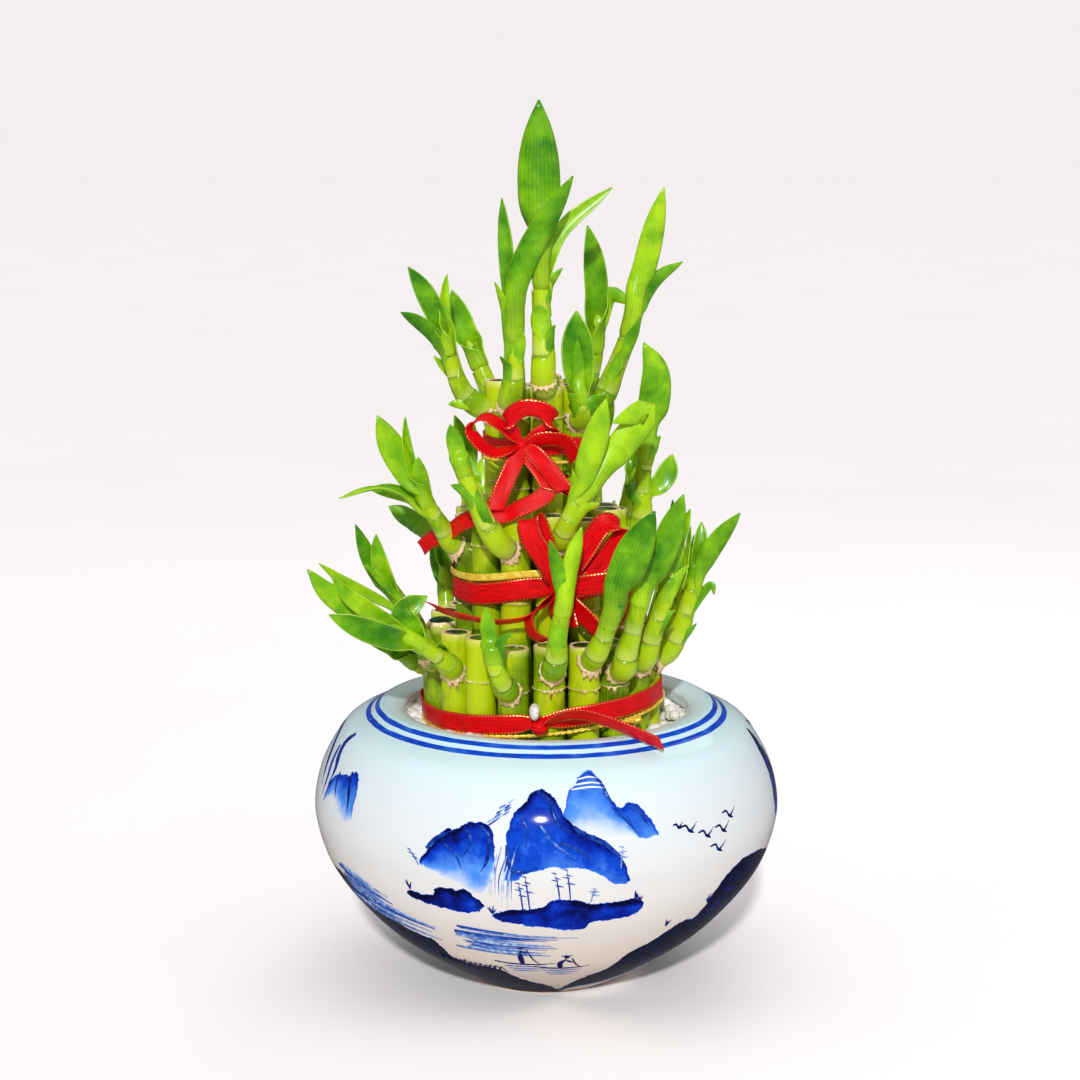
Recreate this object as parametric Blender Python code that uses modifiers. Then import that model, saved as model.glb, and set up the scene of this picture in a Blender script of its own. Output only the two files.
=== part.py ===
"""Lucky bamboo: a three-tier tower of leafy canes in pebbles in a round porcelain bowl.

The script's own unit is the metre and +Z is up. The origin is the centre of the bowl's flat
base. -Y is the front, where the ribbons are tied, and a heading is an angle in degrees round
the tower: 0 is the front, 90 is +X and 180 is the back.

Lengths are written in millimetres and become metres through MM or mm(). Three rings of canes
stand on the bowl's floor, each ring held by a tied ribbon and a twisted gold wire. A cane that
has sprouted carries its shoot and leaves in its own solid.
"""

import math
import random
from dataclasses import dataclass

import bmesh
import bpy
from mathutils import Matrix, Vector

# Driving dimensions.
MM = 0.001
GAP = 0.3 * MM  # clearance kept between pieces that touch on the real object
BOWL_RADIUS = 107 * MM
BOWL_HEIGHT = 127.5 * MM
BOWL_FLOOR = 7 * MM
BOWL_SEGMENTS = 34
CANE_SIDES = 8
CUT_EDGE = 0.9 * MM  # the wax rounds a cut top's edge by this much
RING_PROUD = 0.2 * MM  # a node ring stands this far out of its cane
RING_NECK = 0.5 * MM  # and the cane is this much thinner right below it
RING_DEPTH = 1.5 * MM
HEIGHT_SPREAD = 2.5 * MM  # how far cut tops stand above or below their tier's height
BED_TOP = 118 * MM
BED_HOLE = 58 * MM
BED_SEGMENTS = 28
PEBBLE_LENGTH = 9 * MM
PEBBLE_RING = 61.6 * MM
PEBBLE_COUNT = 28
BLADE_THICKNESS = 1.4 * MM
BLADE_FOLD = 0.3  # depth of a blade's V as a share of its half width
BLADE_SPANS = (16 * MM, 32 * MM)  # a blade gains one more span past each of these lengths
RIBBON_THICKNESS = 0.9 * MM
WIRE_RADIUS = 0.8 * MM
TWIST_RADIUS = 1.3 * MM
TWIST_REACH = (7 * MM, 2.5 * MM)  # how far the twisted ends run along the ring and out of it
STEM_RADII = (5.0 * MM, 2.7 * MM)  # at a shoot's foot and at its end
INTO_KNOT = 0.1  # where a strip starts, as a share of the way from the knot to its first point
BAND_SEGMENTS = 24
SEED = 41

COLLECTION = "lucky_bamboo"

# The bowl's wall as (radius, height) in millimetres, from the foot up the outside to the lip.
OUTER_WALL = (
    (38, 0), (42, 3), (56, 12), (75, 26), (91, 43), (101, 58), (106, 73),
    (107, 84), (104.5, 97), (99.5, 108), (92, 118.5), (82, 123.5),
)
LIP = ((76.5, 127.5), (67, 126.5), (65, 124.5))
# The same wall's inside, from the mouth down to the floor.
INNER_WALL = ((67, 118.5), (80, 113), (94, 103), (101, 90), (101, 72), (89, 47), (66, 24), (36, 7))


@dataclass(frozen=True)
class Tier:
    """One ring of canes.

    Attributes:
        count: How many canes stand in the ring.
        ring_radius: Distance from the ring's centre to each cane's axis.
        cane_radius: Radius of a cane between its node rings.
        turn: Heading of the first cane.
        shift: Where the ring's centre lies along X.
        top: Height of the cut tops.
        foot: Height of the cut feet, which meet the bowl's curved floor.
        node_rings: How far below its top each cane has a node ring.
    """

    count: int
    ring_radius: float
    cane_radius: float
    turn: float
    shift: float
    top: float
    foot: float
    node_rings: tuple


@dataclass(frozen=True)
class Leaf:
    """One blade.

    Attributes:
        at: Where it leaves the stem, from 0 at the stem's foot to 1 at its end.
        reach: The tip, in millimetres from where the blade leaves the stem.
        width: Greatest width in millimetres.
        face: Heading that the flat side looks to, or None for a blade that looks up.
        via: Points that the blade arches through, given as reach is.
    """

    at: float
    reach: tuple
    width: float
    face: float = 0
    via: tuple = ()


@dataclass(frozen=True)
class Shoot:
    """A leafy side shoot.

    Attributes:
        drop: How far below the cane's top it sprouts, in millimetres.
        stem: Points of the stem's centre line, in millimetres from the cane's axis there.
        leaves: Its blades.
    """

    drop: float
    stem: tuple
    leaves: tuple


TIERS = {
    "outer": Tier(19, 47.8 * MM, 7.05 * MM, 3.7, -2.0 * MM, 165 * MM, 20 * MM, (19,)),
    "middle": Tier(13, 33.0 * MM, 6.85 * MM, 8.4, -2.6 * MM, 218 * MM, 11.6 * MM, (15, 40)),
    "inner": Tier(7, 17.6 * MM, 6.9 * MM, 13.4, -3.5 * MM, 275 * MM, 7.3 * MM, (13, 45)),
    "centre": Tier(1, 0.0, 6.9 * MM, 0.0, -3.5 * MM, 271 * MM, 7.3 * MM, (20,)),
}

# Shoots that are placed by hand, by tier and cane.
SHOOTS = {
    ("inner", 0): Shoot(7, ((-2, -8, 10), (-2, -8, 22), (-3, -4, 45), (-3, -3, 64)), (
        Leaf(0.95, (-1, 4, 70), 19.5, via=((-1, 2, 41),)),
        Leaf(0.45, (-2, -5, 16), 9, face=-5),
        Leaf(0.75, (31, 9, 46), 7, via=((8, 5, 26),)),
        Leaf(0.65, (9, 3, 18), 5, face=40),
        Leaf(0.35, (5, -5, 14), 5, face=40),
    )),
    ("inner", 1): Shoot(17, ((3, -8, 2), (4, -12, 6), (3, -13, 12)), (
        Leaf(0.45, (-6, -8, 12), 6, face=-20),
        Leaf(0.5, (10, -6, 10), 7, face=30),
        Leaf(0.8, (-3, 0, 42), 15),
        Leaf(1.0, (-2, -4, 26), 6),
    )),
    ("inner", 2): Shoot(13, ((12, 4, 3), (19, 5, 17), (25, 5, 33), (30, 5, 49)), (
        Leaf(0.85, (13, -5, 59), 11.5, face=10, via=((5, -2, 23),)),
        Leaf(0.8, (23, 1, 29), 6.5, face=20, via=((10, 2, 19),)),
        Leaf(0.5, (10, -3, 22), 6, face=20),
        Leaf(0.3, (9, -4, 20), 6.5),
        Leaf(0.15, (11, -2, 9), 4),
    )),
    ("inner", 3): Shoot(15, ((12, 7, 3), (20, 8, 15), (23, 9, 29), (24, 9, 38)), (
        Leaf(0.9, (-5, -2, 51), 11),
        Leaf(0.85, (16, -2, 18), 8, via=((5, 2, 21),)),
    )),
    ("inner", 4): Shoot(13, ((-10, 5, 6), (-15, 7, 16), (-19, 9, 24), (-21, 10, 28)), (
        Leaf(0.8, (-11, 4, 31), 11),
        Leaf(0.3, (-9, 1, 24), 6),
    )),
    ("inner", 5): Shoot(16, ((-12, -2, 7), (-18, -3, 15), (-22, -4, 27), (-24, -5, 36)), (
        Leaf(0.9, (-17, -4, 36), 9.5, face=15),
        Leaf(0.75, (-22, -8, 23), 8, face=-30),
        Leaf(1.0, (1, 4, 28), 5.5, face=30),
        Leaf(0.4, (-15, 0, 17), 4),
        Leaf(0.15, (-17, -6, 3), 5),
    )),
    ("inner", 6): Shoot(12, ((-2, -8, 4), (0, -10, 15), (0, -10, 33), (-1, -11, 46)), (
        Leaf(0.4, (3, -7, 24), 8.5),
        Leaf(0.85, (26, -6, 65), 11.5, face=10, via=((4, -3, 25),)),
        Leaf(0.8, (-5, 5, 58), 7.5, face=-20),
        Leaf(0.55, (-8, -3, 35), 5.5, face=-40),
        Leaf(0.3, (-5, -8, 16), 5, face=-40),
    )),
    ("middle", 0): Shoot(12, ((4, -8, 4), (7, -13, 12), (10, -15, 20), (13, -16, 27)), (
        Leaf(0.85, (12, -8, 45), 12, face=10, via=((7, -6, 24),)),
        Leaf(0.9, (14, -4, 33), 14, face=10, via=((18, 2, 21), (29, 4, 36))),
        Leaf(0.5, (14, -7, 11), 5, face=40),
        Leaf(0.6, (1, -6, 23), 4.5, face=-30),
    )),
    ("middle", 3): Shoot(15, ((10, -3, 2), (13, -3, 9), (13, -3, 22), (14, -3, 34), (17, -3, 46)), (
        Leaf(0.95, (-3, 4, 46), 15, face=10, via=((3, 2, 29),)),
        Leaf(0.55, (14, 6, 17), 10, via=((10, 4, 6),)),
        Leaf(0.85, (6, -2, 10), 4.5, face=20),
        Leaf(0.45, (-8, -5, 10), 8),
    )),
    ("middle", 9): Shoot(16, ((-10, 2, 0), (-18, 4, 1), (-25, 6, 6)), (
        Leaf(0.8, (-17, 2, 11), 9),
        Leaf(0.6, (-6, 2, 13), 5),
    )),
    ("middle", 10): Shoot(19, ((-8, -6, 5), (-14, -9, 15), (-21, -11, 26)), (
        Leaf(0.95, (-20, -6, 39), 12.5, face=20),
        Leaf(1.0, (-7, 2, 36), 6, face=40),
        Leaf(0.8, (-5, -5, 25), 8),
        Leaf(0.85, (-39, -11, 6), 9, face=None, via=((-20, -6, 9),)),
        Leaf(0.8, (-28, 5, 9), 7, face=-20),
    )),
    ("middle", 12): Shoot(15, (
        (-6, -9, 4), (-12, -13, 13), (-17, -14, 24), (-22, -14, 36), (-25, -14, 45),
    ), (
        Leaf(1.0, (-3, 0, 13), 7.5),
        Leaf(0.55, (-5, 7, 23), 9, face=20),
        Leaf(0.5, (0, 8, 24), 6, face=20),
        Leaf(0.6, (-11, -5, 9), 4.5, face=-20),
        Leaf(0.35, (-6, -7, 20), 5, face=20),
    )),
    ("outer", 0): Shoot(13, ((2, -10, 4), (3, -14, 11), (4, -15, 21), (7, -15, 38)), (
        Leaf(0.95, (7, -3, 32), 8, face=20, via=((3, -2, 16),)),
        Leaf(0.9, (-6, -4, 29), 6.5, face=-20, via=((-3, -3, 16),)),
        Leaf(0.45, (0, -5, 14), 8),
    )),
    ("outer", 1): Shoot(11, ((4, -9, 6), (8, -16, 16), (11, -19, 27), (13, -21, 35)), (
        Leaf(0.8, (18, -9, 47), 16.5, face=5, via=((8, -7, 24),)),
        Leaf(0.7, (0, -6, 22), 4.5, face=-20),
        Leaf(0.55, (8, -9, 17), 7, face=20),
    )),
    ("outer", 2): Shoot(15, ((4, -10, 3), (5, -14, 10), (8, -16, 23), (10, -17, 34), (12, -18, 45)), (
        Leaf(0.75, (19, -5, 51), 13.5, face=15, via=((12, -3, 27),)),
        Leaf(0.95, (5, -2, 17), 7),
    )),
    ("outer", 3): Shoot(15, ((4, -9, 4), (6, -12, 13), (10, -14, 26), (13, -15, 35), (15, -16, 44)), (
        Leaf(0.9, (6, -2, 24), 8),
        Leaf(0.75, (11, -1, 17), 5, face=30),
        Leaf(0.45, (10, -3, 12), 4, face=30),
    )),
    ("outer", 4): Shoot(17, ((9, -3, 4), (14, -5, 13), (17, -6, 21), (20, -7, 32), (23, -8, 45)), (
        Leaf(0.8, (20, -10, 37), 9.5, face=20, via=((9, -6, 20),)),
        Leaf(0.95, (2, -3, 15), 6),
        Leaf(0.9, (3, 5, 25), 7),
        Leaf(0.55, (13, -7, 12), 4, via=((11, -5, 16),)),
        Leaf(0.25, (12, -4, 13), 4, face=30),
    )),
    ("outer", 14): Shoot(22, ((-9, -2, 1), (-12, -3, 4)), (
        Leaf(0.8, (-9, -5, 5), 6),
        Leaf(0.9, (-25, -1, 13), 7),
    )),
    ("outer", 15): Shoot(19, ((-5, -5, 7), (-13, -9, 27), (-17, -10, 32), (-19, -11, 34)), (
        Leaf(1.0, (-18, -4, 35), 8, face=20, via=((-9, -2, 13),)),
        Leaf(0.95, (-10, -7, 32), 8),
        Leaf(0.95, (-15, -10, 19), 4, via=((-9, -8, 13),)),
        Leaf(0.8, (-38, -20, 26), 5, via=((-25, -14, 15),)),
    )),
    ("outer", 16): Shoot(18, ((-4, -13, 8), (-10, -18, 14), (-17, -21, 20)), (
        Leaf(0.85, (-40, -14, 17), 11.5, via=((-19, -10, 8),)),
        Leaf(1.0, (-46, -4, 32), 11.5, face=10, via=((-33, -2, 18),)),
        Leaf(1.0, (-35, -10, 30), 8, face=20, via=((-25, -6, 18),)),
        Leaf(0.8, (0, 2, 23), 12, via=((-10, 0, 15),)),
        Leaf(0.35, (-3, -14, 11), 5),
    )),
    ("outer", 18): Shoot(22, ((-3, -9, 3), (-6, -16, 11), (-9, -17, 19), (-10, -17, 25)), (
        Leaf(0.9, (-2, 0, 20), 7),
        Leaf(0.6, (6, -6, 20), 4.5, via=((1, -4, 15),)),
    )),
}
# Canes at the back whose shoots follow the rule in grown_shoot: the heading that each shoot
# leans to, and its stem's height in millimetres.
GROWN = {
    ("outer", 5): (105, 26), ("outer", 6): (125, 34), ("outer", 7): (150, 38),
    ("outer", 8): (158, 30), ("outer", 9): (176, 36), ("outer", 10): (190, 28),
    ("outer", 11): (180, 34), ("outer", 12): (205, 24),
    ("middle", 4): (118, 22), ("middle", 5): (160, 34), ("middle", 6): (180, 40),
    ("middle", 7): (178, 32), ("middle", 8): (205, 20),
}


@dataclass(frozen=True)
class Strip:
    """A stretch of ribbon that leaves the knot.

    Attributes:
        points: Points of its centre line after the knot, in millimetres.
        across: The way that its width runs.
        loop: Whether it comes back to the knot.
    """

    points: tuple
    across: tuple
    loop: bool = False


@dataclass(frozen=True)
class Tie:
    """A ribbon round one ring of canes, with its gold wire beside it.

    Attributes:
        height: Height of the band's middle.
        width: Width of the ribbon.
        tilt: How far the band tips up towards +X, in degrees.
        wire_rise: Height of the wire above the band's middle, along the band's own axis.
        knot: Where the ribbon is knotted, in millimetres.
        strips: The loops and tails of its bow.
        twist: Heading of the wire's twisted end.
    """

    height: float
    width: float
    tilt: float
    wire_rise: float
    knot: tuple
    strips: tuple
    twist: float


TIES = {
    "inner": Tie(248 * MM, 8 * MM, 0, -6.5 * MM, (-11, -28, 250), (
        Strip(((-19, -31, 258), (-27, -33, 262), (-33, -36, 257), (-24, -36, 248)),
              (-0.5, -0.8, -0.3), True),
        Strip(((-17, -32, 260), (-10, -37, 267), (0, -36, 265), (2, -32, 258)), (0, -0.3, 1), True),
        Strip(((-14, -33, 243), (-19, -36, 232), (-23, -38, 222)), (1, 0, -0.4)),
        Strip(((-5, -32, 246), (1, -35, 240), (8, -38, 231)), (0.7, 0, 0.7)),
        Strip(((1, -31, 253), (9, -30, 251), (13, -29, 244)), (0.3, -0.5, 0.8)),
    ), 150),
    "middle": Tie(188 * MM, 10 * MM, 0, 6.8 * MM, (5, -43, 188), (
        Strip(((1, -47, 198), (-5, -50, 212), (0, -51, 217), (6, -48, 204)), (0.9, -0.3, 0.2), True),
        Strip(((16, -46, 205), (25, -47, 218), (33, -47, 214), (23, -46, 200)), (0.6, -0.5, -0.6), True),
        Strip(((15, -50, 191), (26, -52, 193), (31, -47, 193), (24, -43, 191)), (0.1, -0.2, 1), True),
        Strip(((8, -48, 180), (10, -51, 173)), (0.8, -0.6, 0.2)),
        Strip(((12, -46, 181), (18, -49, 176), (23, -50, 171)), (0.6, -0.6, 0.5)),
        Strip(((-1, -46, 183), (-8, -50, 177), (-22, -47, 174), (-38, -38, 175), (-50, -27, 177),
               (-52, -8, 178)), (-0.7, -0.6, 0.4)),
    ), 200),
    "outer": Tie(131.5 * MM, 9 * MM, 5.2, -5.6 * MM, (-3, -59, 130), (
        Strip(((6, -62, 136), (16, -64, 137), (28, -67, 134), (40, -71, 130.5), (49, -74, 128.6)),
              (0.25, -0.5, 0.8)),
    ), 40),
}


def mm(point):
    """A point or an offset given in millimetres, as a Vector in metres."""
    return Vector(point) * MM


def heading_vector(heading):
    """The level unit vector that points to a heading."""
    turned = math.radians(heading)
    return Vector((math.sin(turned), -math.cos(turned), 0))


def material(name, colour, roughness, metallic=0.0):
    """A Principled material with one colour."""
    made = bpy.data.materials.new(name)
    made.use_nodes = True
    shader = made.node_tree.nodes["Principled BSDF"]
    shader.inputs["Base Color"].default_value = (*colour, 1)
    shader.inputs["Roughness"].default_value = roughness
    shader.inputs["Metallic"].default_value = metallic
    made.diffuse_color = (*colour, 1)
    return made


def object_from(name, mesh, collection, surface=None):
    """Links a mesh to a collection as a named object."""
    made = bpy.data.objects.new(name, mesh)
    if surface:
        mesh.materials.clear()
        mesh.materials.append(surface)
    collection.objects.link(made)
    return made


def bake(obj):
    """Applies an object's modifiers, or makes a curve a mesh, and returns the mesh object."""
    bpy.context.view_layer.update()
    graph = bpy.context.evaluated_depsgraph_get()
    mesh = bpy.data.meshes.new_from_object(obj.evaluated_get(graph))
    baked = bpy.data.objects.new(obj.name, mesh)
    baked.matrix_world = obj.matrix_world
    for collection in obj.users_collection:
        collection.objects.link(baked)
    name = obj.name
    bpy.data.objects.remove(obj)
    baked.name = name
    return baked


def weld(mesh, distance=0.01 * MM):
    """Merges a mesh's coincident points and turns its faces outward."""
    shape = bmesh.new()
    shape.from_mesh(mesh)
    bmesh.ops.remove_doubles(shape, verts=shape.verts, dist=distance)
    bmesh.ops.recalc_face_normals(shape, faces=shape.faces)
    shape.to_mesh(mesh)
    shape.free()


def turned(name, profile, steps, collection, surface=None):
    """A solid of revolution round Z from (radius, height) points in metres."""
    mesh = bpy.data.meshes.new(name)
    points = [(radius, 0, height) for radius, height in profile]
    edges = [(i, i + 1) for i in range(len(points) - 1)]
    if points[0] == points[-1]:
        points.pop()
        edges[-1] = (len(points) - 1, 0)
    mesh.from_pydata(points, edges, [])
    obj = object_from(name, mesh, collection, surface)
    screw = obj.modifiers.new("turn", "SCREW")
    screw.steps = steps
    screw.render_steps = steps
    screw.use_merge_vertices = True
    screw.merge_threshold = 0.00001
    return obj


def smooth_path(points, steps):
    """Points of a Catmull-Rom curve through the given ones, with steps to each span."""
    ends = [2 * points[0] - points[1], *points, 2 * points[-1] - points[-2]]
    path = []
    for a, b, c, d in zip(ends, ends[1:], ends[2:], ends[3:]):
        for i in range(steps):
            t = i / steps
            path.append(
                b + (c - a) * (t / 2)
                + (2 * a - 5 * b + 4 * c - d) * (t * t / 2)
                + (3 * b - a - 3 * c + d) * (t ** 3 / 2)
            )
    return [*path, points[-1].copy()]


def point_on(path, share):
    """The point at a share of a path's length, and the path's direction there."""
    lengths = [(b - a).length for a, b in zip(path, path[1:])]
    left = share * sum(lengths)
    for a, b, length in zip(path, path[1:], lengths):
        if left <= length:
            return a.lerp(b, left / length), (b - a).normalized()
        left -= length
    return path[-1].copy(), (path[-1] - path[-2]).normalized()


def tube(name, path, radii, collection, closed=False, fine=1):
    """A round bar along a path, as a mesh object with welded caps."""
    curve = bpy.data.curves.new(name, "CURVE")
    curve.dimensions = "3D"
    curve.bevel_depth = 1.0
    curve.bevel_resolution = fine
    curve.use_fill_caps = not closed
    spline = curve.splines.new("POLY")
    spline.points.add(len(path) - 1)
    spline.use_cyclic_u = closed
    for point, place, radius in zip(spline.points, path, radii):
        point.co = (*place, 1)
        point.radius = radius
    obj = bpy.data.objects.new(name, curve)
    collection.objects.link(obj)
    obj = bake(obj)
    weld(obj.data)
    return obj


def lofted(name, sections, tip, collection):
    """A closed mesh through rings of points that share one count, ending in a cap or in a tip."""
    shape = bmesh.new()
    rings = [[shape.verts.new(point) for point in section] for section in sections]
    shape.faces.new(rings[0])
    for near, far in zip(rings, rings[1:]):
        for i in range(len(near)):
            j = (i + 1) % len(near)
            shape.faces.new((near[i], near[j], far[j], far[i]))
    if tip is None:
        shape.faces.new(rings[-1][::-1])
    else:
        end = shape.verts.new(tip)
        for i, corner in enumerate(rings[-1]):
            shape.faces.new((corner, rings[-1][(i + 1) % len(rings[-1])], end))
    bmesh.ops.triangulate(shape, faces=shape.faces)
    bmesh.ops.recalc_face_normals(shape, faces=shape.faces)
    mesh = bpy.data.meshes.new(name)
    shape.to_mesh(mesh)
    shape.free()
    return object_from(name, mesh, collection)


def keep_body(mesh):
    """Fills the hollows and drops the scraps that a union sealed off: only the main shell stays."""
    shape = bmesh.new()
    shape.from_mesh(mesh)
    shells = []
    waiting = set(shape.verts)
    while waiting:
        shell = set()
        front = [waiting.pop()]
        while front:
            corner = front.pop()
            shell.add(corner)
            linked = {edge.other_vert(corner) for edge in corner.link_edges} & waiting
            waiting -= linked
            front.extend(linked)
        shells.append(shell)
    shells.sort(key=len)
    for shell in shells[:-1]:
        bmesh.ops.delete(shape, geom=list(shell), context="VERTS")
    shape.to_mesh(mesh)
    shape.free()


def united(base, extras, collection):
    """Joins the extras into base with one Boolean union, and removes them."""
    if not extras:
        return bake(base)
    union = base.modifiers.new("grow", "BOOLEAN")
    union.operation = "UNION"
    union.operand_type = "COLLECTION"
    union.collection = collection
    union.solver = "MANIFOLD"
    joined = bake(base)
    keep_body(joined.data)
    for extra in extras:
        bpy.data.objects.remove(extra)
    return joined


def width_share(share):
    """A blade's width at a share of its length: narrow where it clasps, broad past the middle."""
    if share < 0.55:
        return 0.45 + 0.55 * math.sin(share / 0.55 * math.pi / 2)
    return 1 - ((share - 0.55) / 0.45) ** 2.4


def blade_path(leaf, stem, radius):
    """Points along one leaf's rib, which starts inside the stem and ends at the tip."""
    foot, along = point_on(stem, leaf.at)
    reach = mm(leaf.reach)
    sideways = reach - along * reach.dot(along)
    foot = foot + sideways.normalized() * radius * 0.35
    if not leaf.via:
        bend = foot + along * reach.length * 0.4 + reach * 0.1
        return [foot, foot.lerp(bend, 0.5).lerp(bend.lerp(foot + reach, 0.5), 0.5), foot + reach], bend
    return [foot, *(foot + mm(point) for point in leaf.via), foot + reach], None


def blade(name, leaf, stem, radius, collection):
    """One leaf: a thin blade, keeled below, that arches from inside the stem to its tip."""
    points, bend = blade_path(leaf, stem, radius)
    stations = 5 if leaf.via else 2 + sum(mm(leaf.reach).length > limit for limit in BLADE_SPANS)
    if bend:
        foot, _, tip = points
        path = [foot.lerp(bend, i / stations).lerp(bend.lerp(tip, i / stations), i / stations)
                for i in range(stations + 1)]
    else:
        fine = smooth_path(points, 6)
        path = [point_on(fine, i / stations)[0] for i in range(stations + 1)]
    looks = Vector((0, 0, 1)) if leaf.face is None else heading_vector(leaf.face)
    sections = []
    for i, centre in enumerate(path[:-1]):
        run = (path[i + 1] - path[max(i - 1, 0)]).normalized()
        side = run.cross(looks).normalized()
        under = run.cross(side)
        half = leaf.width * MM / 2 * width_share(i / stations)
        keel = centre + under * (half * BLADE_FOLD + BLADE_THICKNESS)
        sections.append((centre - side * half, keel, centre + side * half))
    return lofted(name, sections, path[-1], collection)


def grown_shoot(tier_name, heading, lean_heading, height, rng):
    """A shoot by rule: its stem leaves the cane and leans over, and its blades spread from it."""
    out = heading_vector(heading)
    lean = heading_vector(lean_heading)
    across = Vector((0, 0, 1)).cross(lean)
    stem = []
    for share in (0, 0.5, 1):
        away = out * 10 * (1 - share / 2) + lean * (3 + 0.4 * height) * share
        stem.append(tuple(away + Vector((0, 0, 2 + height * share))))
    leaves = []
    for i, at in enumerate((0.5, 0.75, 0.9, 1.0)):
        length = rng.uniform(16, 22) + 14 * at
        spread = rng.uniform(0.05, 0.2) * (1 if i % 2 else -1)
        outward = rng.uniform(0.3, 0.6) * (1.3 - at)
        reach = (lean * outward + across * spread + Vector((0, 0, 0.85))).normalized() * length
        leaves.append(Leaf(at, tuple(reach), rng.uniform(4, 6) + 4 * at, face=lean_heading + 180))
    drop = rng.uniform(13, 18) if tier_name == "outer" else 15
    return Shoot(drop, tuple(stem), tuple(leaves))


def cane_profile(tier, top):
    """A cane's (radius, height) outline from its waxed top down to its foot."""
    radius = tier.cane_radius
    outline = [(0, top), (radius - CUT_EDGE, top), (radius, top - CUT_EDGE)]
    for drop in tier.node_rings:
        ring = top - drop * MM
        outline += [(radius + RING_PROUD, ring), (radius - RING_NECK, ring - RING_DEPTH)]
    return [*outline, (radius, tier.foot), (0, tier.foot)]


def stem_radius(share):
    """A shoot's radius at a share of its length."""
    near, far = STEM_RADII
    return near + (far - near) * share


def cane(name, tier, heading, shoot, rng, collection, surface):
    """One cane with its shoot, joined into one solid."""
    top = tier.top + rng.uniform(-1, 1) * HEIGHT_SPREAD
    axis = Vector((tier.shift, 0, 0)) + heading_vector(heading) * tier.ring_radius
    body = turned(name, cane_profile(tier, top), CANE_SIDES, collection, surface)
    body.location = axis
    body.rotation_euler.z = math.radians(heading)
    if shoot is None:
        return bake(body)
    growth = bpy.data.collections.new(name + "_growth")
    bpy.context.scene.collection.children.link(growth)
    foot = axis + Vector((0, 0, tier.top - shoot.drop * MM))
    stem = [foot, *(foot + mm(point) for point in shoot.stem)]
    radii = [stem_radius(i / (len(stem) - 1)) for i in range(len(stem))]
    extras = [tube("stem", stem, radii, growth)]
    for i, leaf in enumerate(shoot.leaves):
        extras.append(blade(f"leaf_{i}", leaf, stem, stem_radius(leaf.at), growth))
    joined = united(body, extras, growth)
    bpy.data.collections.remove(growth)
    return joined


def build_canes(collection, surface):
    """Every cane of every tier, each on the bowl's floor."""
    rng = random.Random(SEED)
    for tier_name, tier in TIERS.items():
        for index in range(tier.count):
            heading = tier.turn + index * 360 / tier.count
            shoot = SHOOTS.get((tier_name, index))
            if (tier_name, index) in GROWN:
                shoot = grown_shoot(tier_name, heading, *GROWN[tier_name, index], rng)
            name = f"cane_{tier_name}_{index + 1:02d}" if tier.count > 1 else "cane_centre"
            cane(name, tier, heading, shoot, rng, collection, surface)


def build_bowl(collection, surface):
    """The porcelain bowl, turned from its floor up over the lip and down to its flat base."""
    outline = [*reversed(INNER_WALL), *reversed(LIP), *reversed(OUTER_WALL)]
    wall = [(radius * MM, height * MM) for radius, height in outline]
    bowl = turned("bowl", [(0, BOWL_FLOOR), *wall, (0, 0)], BOWL_SEGMENTS, collection, surface)
    return bake(bowl)


def build_pebble_bed(collection, cutters, surface):
    """The pebbles that fill the bowl round the canes, in relief along their visible edge."""
    facet = math.cos(math.pi / BED_SEGMENTS)
    wall = [((r - 1.4) * MM * facet, (z + 0.6) * MM) for r, z in INNER_WALL[1:-1:2]]
    floor = BOWL_FLOOR + 4 * GAP
    profile = [(0, BED_TOP), (64 * MM, BED_TOP), (66 * MM, 117 * MM), *wall, (36 * MM, floor), (0, floor)]
    bed = turned("pebble_bed", profile, BED_SEGMENTS, collection, surface)
    bundle = Vector((TIERS["outer"].shift, 0, 0))
    rng = random.Random(SEED)
    heap = bpy.data.collections.new("pebbles")
    bpy.context.scene.collection.children.link(heap)
    extras = []
    for i in range(PEBBLE_COUNT):
        centre = bundle / 2 + heading_vector(i * 360 / PEBBLE_COUNT) * PEBBLE_RING
        centre.z = BED_TOP + 0.4 * MM
        extras.append(rounded_lump(f"pebble_{i}", centre, PEBBLE_LENGTH / 2, rng, heap))
    heaped = united(bed, extras, heap)
    bpy.data.collections.remove(heap)
    bpy.ops.mesh.primitive_cylinder_add(
        vertices=BED_SEGMENTS, radius=BED_HOLE, depth=2 * BOWL_HEIGHT, location=bundle)
    hole = bpy.context.object
    hole.name = "bundle_hole"
    hole.hide_render = True
    hole.display_type = "WIRE"
    for owner in hole.users_collection:
        owner.objects.unlink(hole)
    cutters.objects.link(hole)
    cut = heaped.modifiers.new("hole", "BOOLEAN")
    cut.operation = "DIFFERENCE"
    cut.object = hole


def rounded_lump(name, centre, radius, rng, collection):
    """A small squashed ball: a pebble or a knot."""
    shape = bmesh.new()
    bmesh.ops.create_icosphere(shape, subdivisions=1, radius=radius)
    squash = Matrix.Diagonal((1, rng.uniform(0.8, 0.92), rng.uniform(0.62, 0.75), 1))
    turn = Matrix.Rotation(rng.uniform(0, math.tau), 4, "Z")
    bmesh.ops.transform(shape, matrix=Matrix.Translation(centre) @ turn @ squash, verts=shape.verts)
    mesh = bpy.data.meshes.new(name)
    shape.to_mesh(mesh)
    shape.free()
    return object_from(name, mesh, collection)


def ribbon_strip(name, path, width, width_way, collection):
    """A flat strip along a path, gathered at the knot, with its width along width_way."""
    sections = []
    for i, point in enumerate(path):
        run = (path[min(i + 1, len(path) - 1)] - path[max(i - 1, 0)]).normalized()
        gathered = 0.5 if (point - path[0]).length < width / 4 else 1
        across = (width_way - run * width_way.dot(run)).normalized() * width / 2 * gathered
        thick = run.cross(across).normalized() * RIBBON_THICKNESS / 2
        sections.append((point - across - thick, point + across - thick,
                         point + across + thick, point - across + thick))
    return lofted(name, sections, None, collection)


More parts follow.
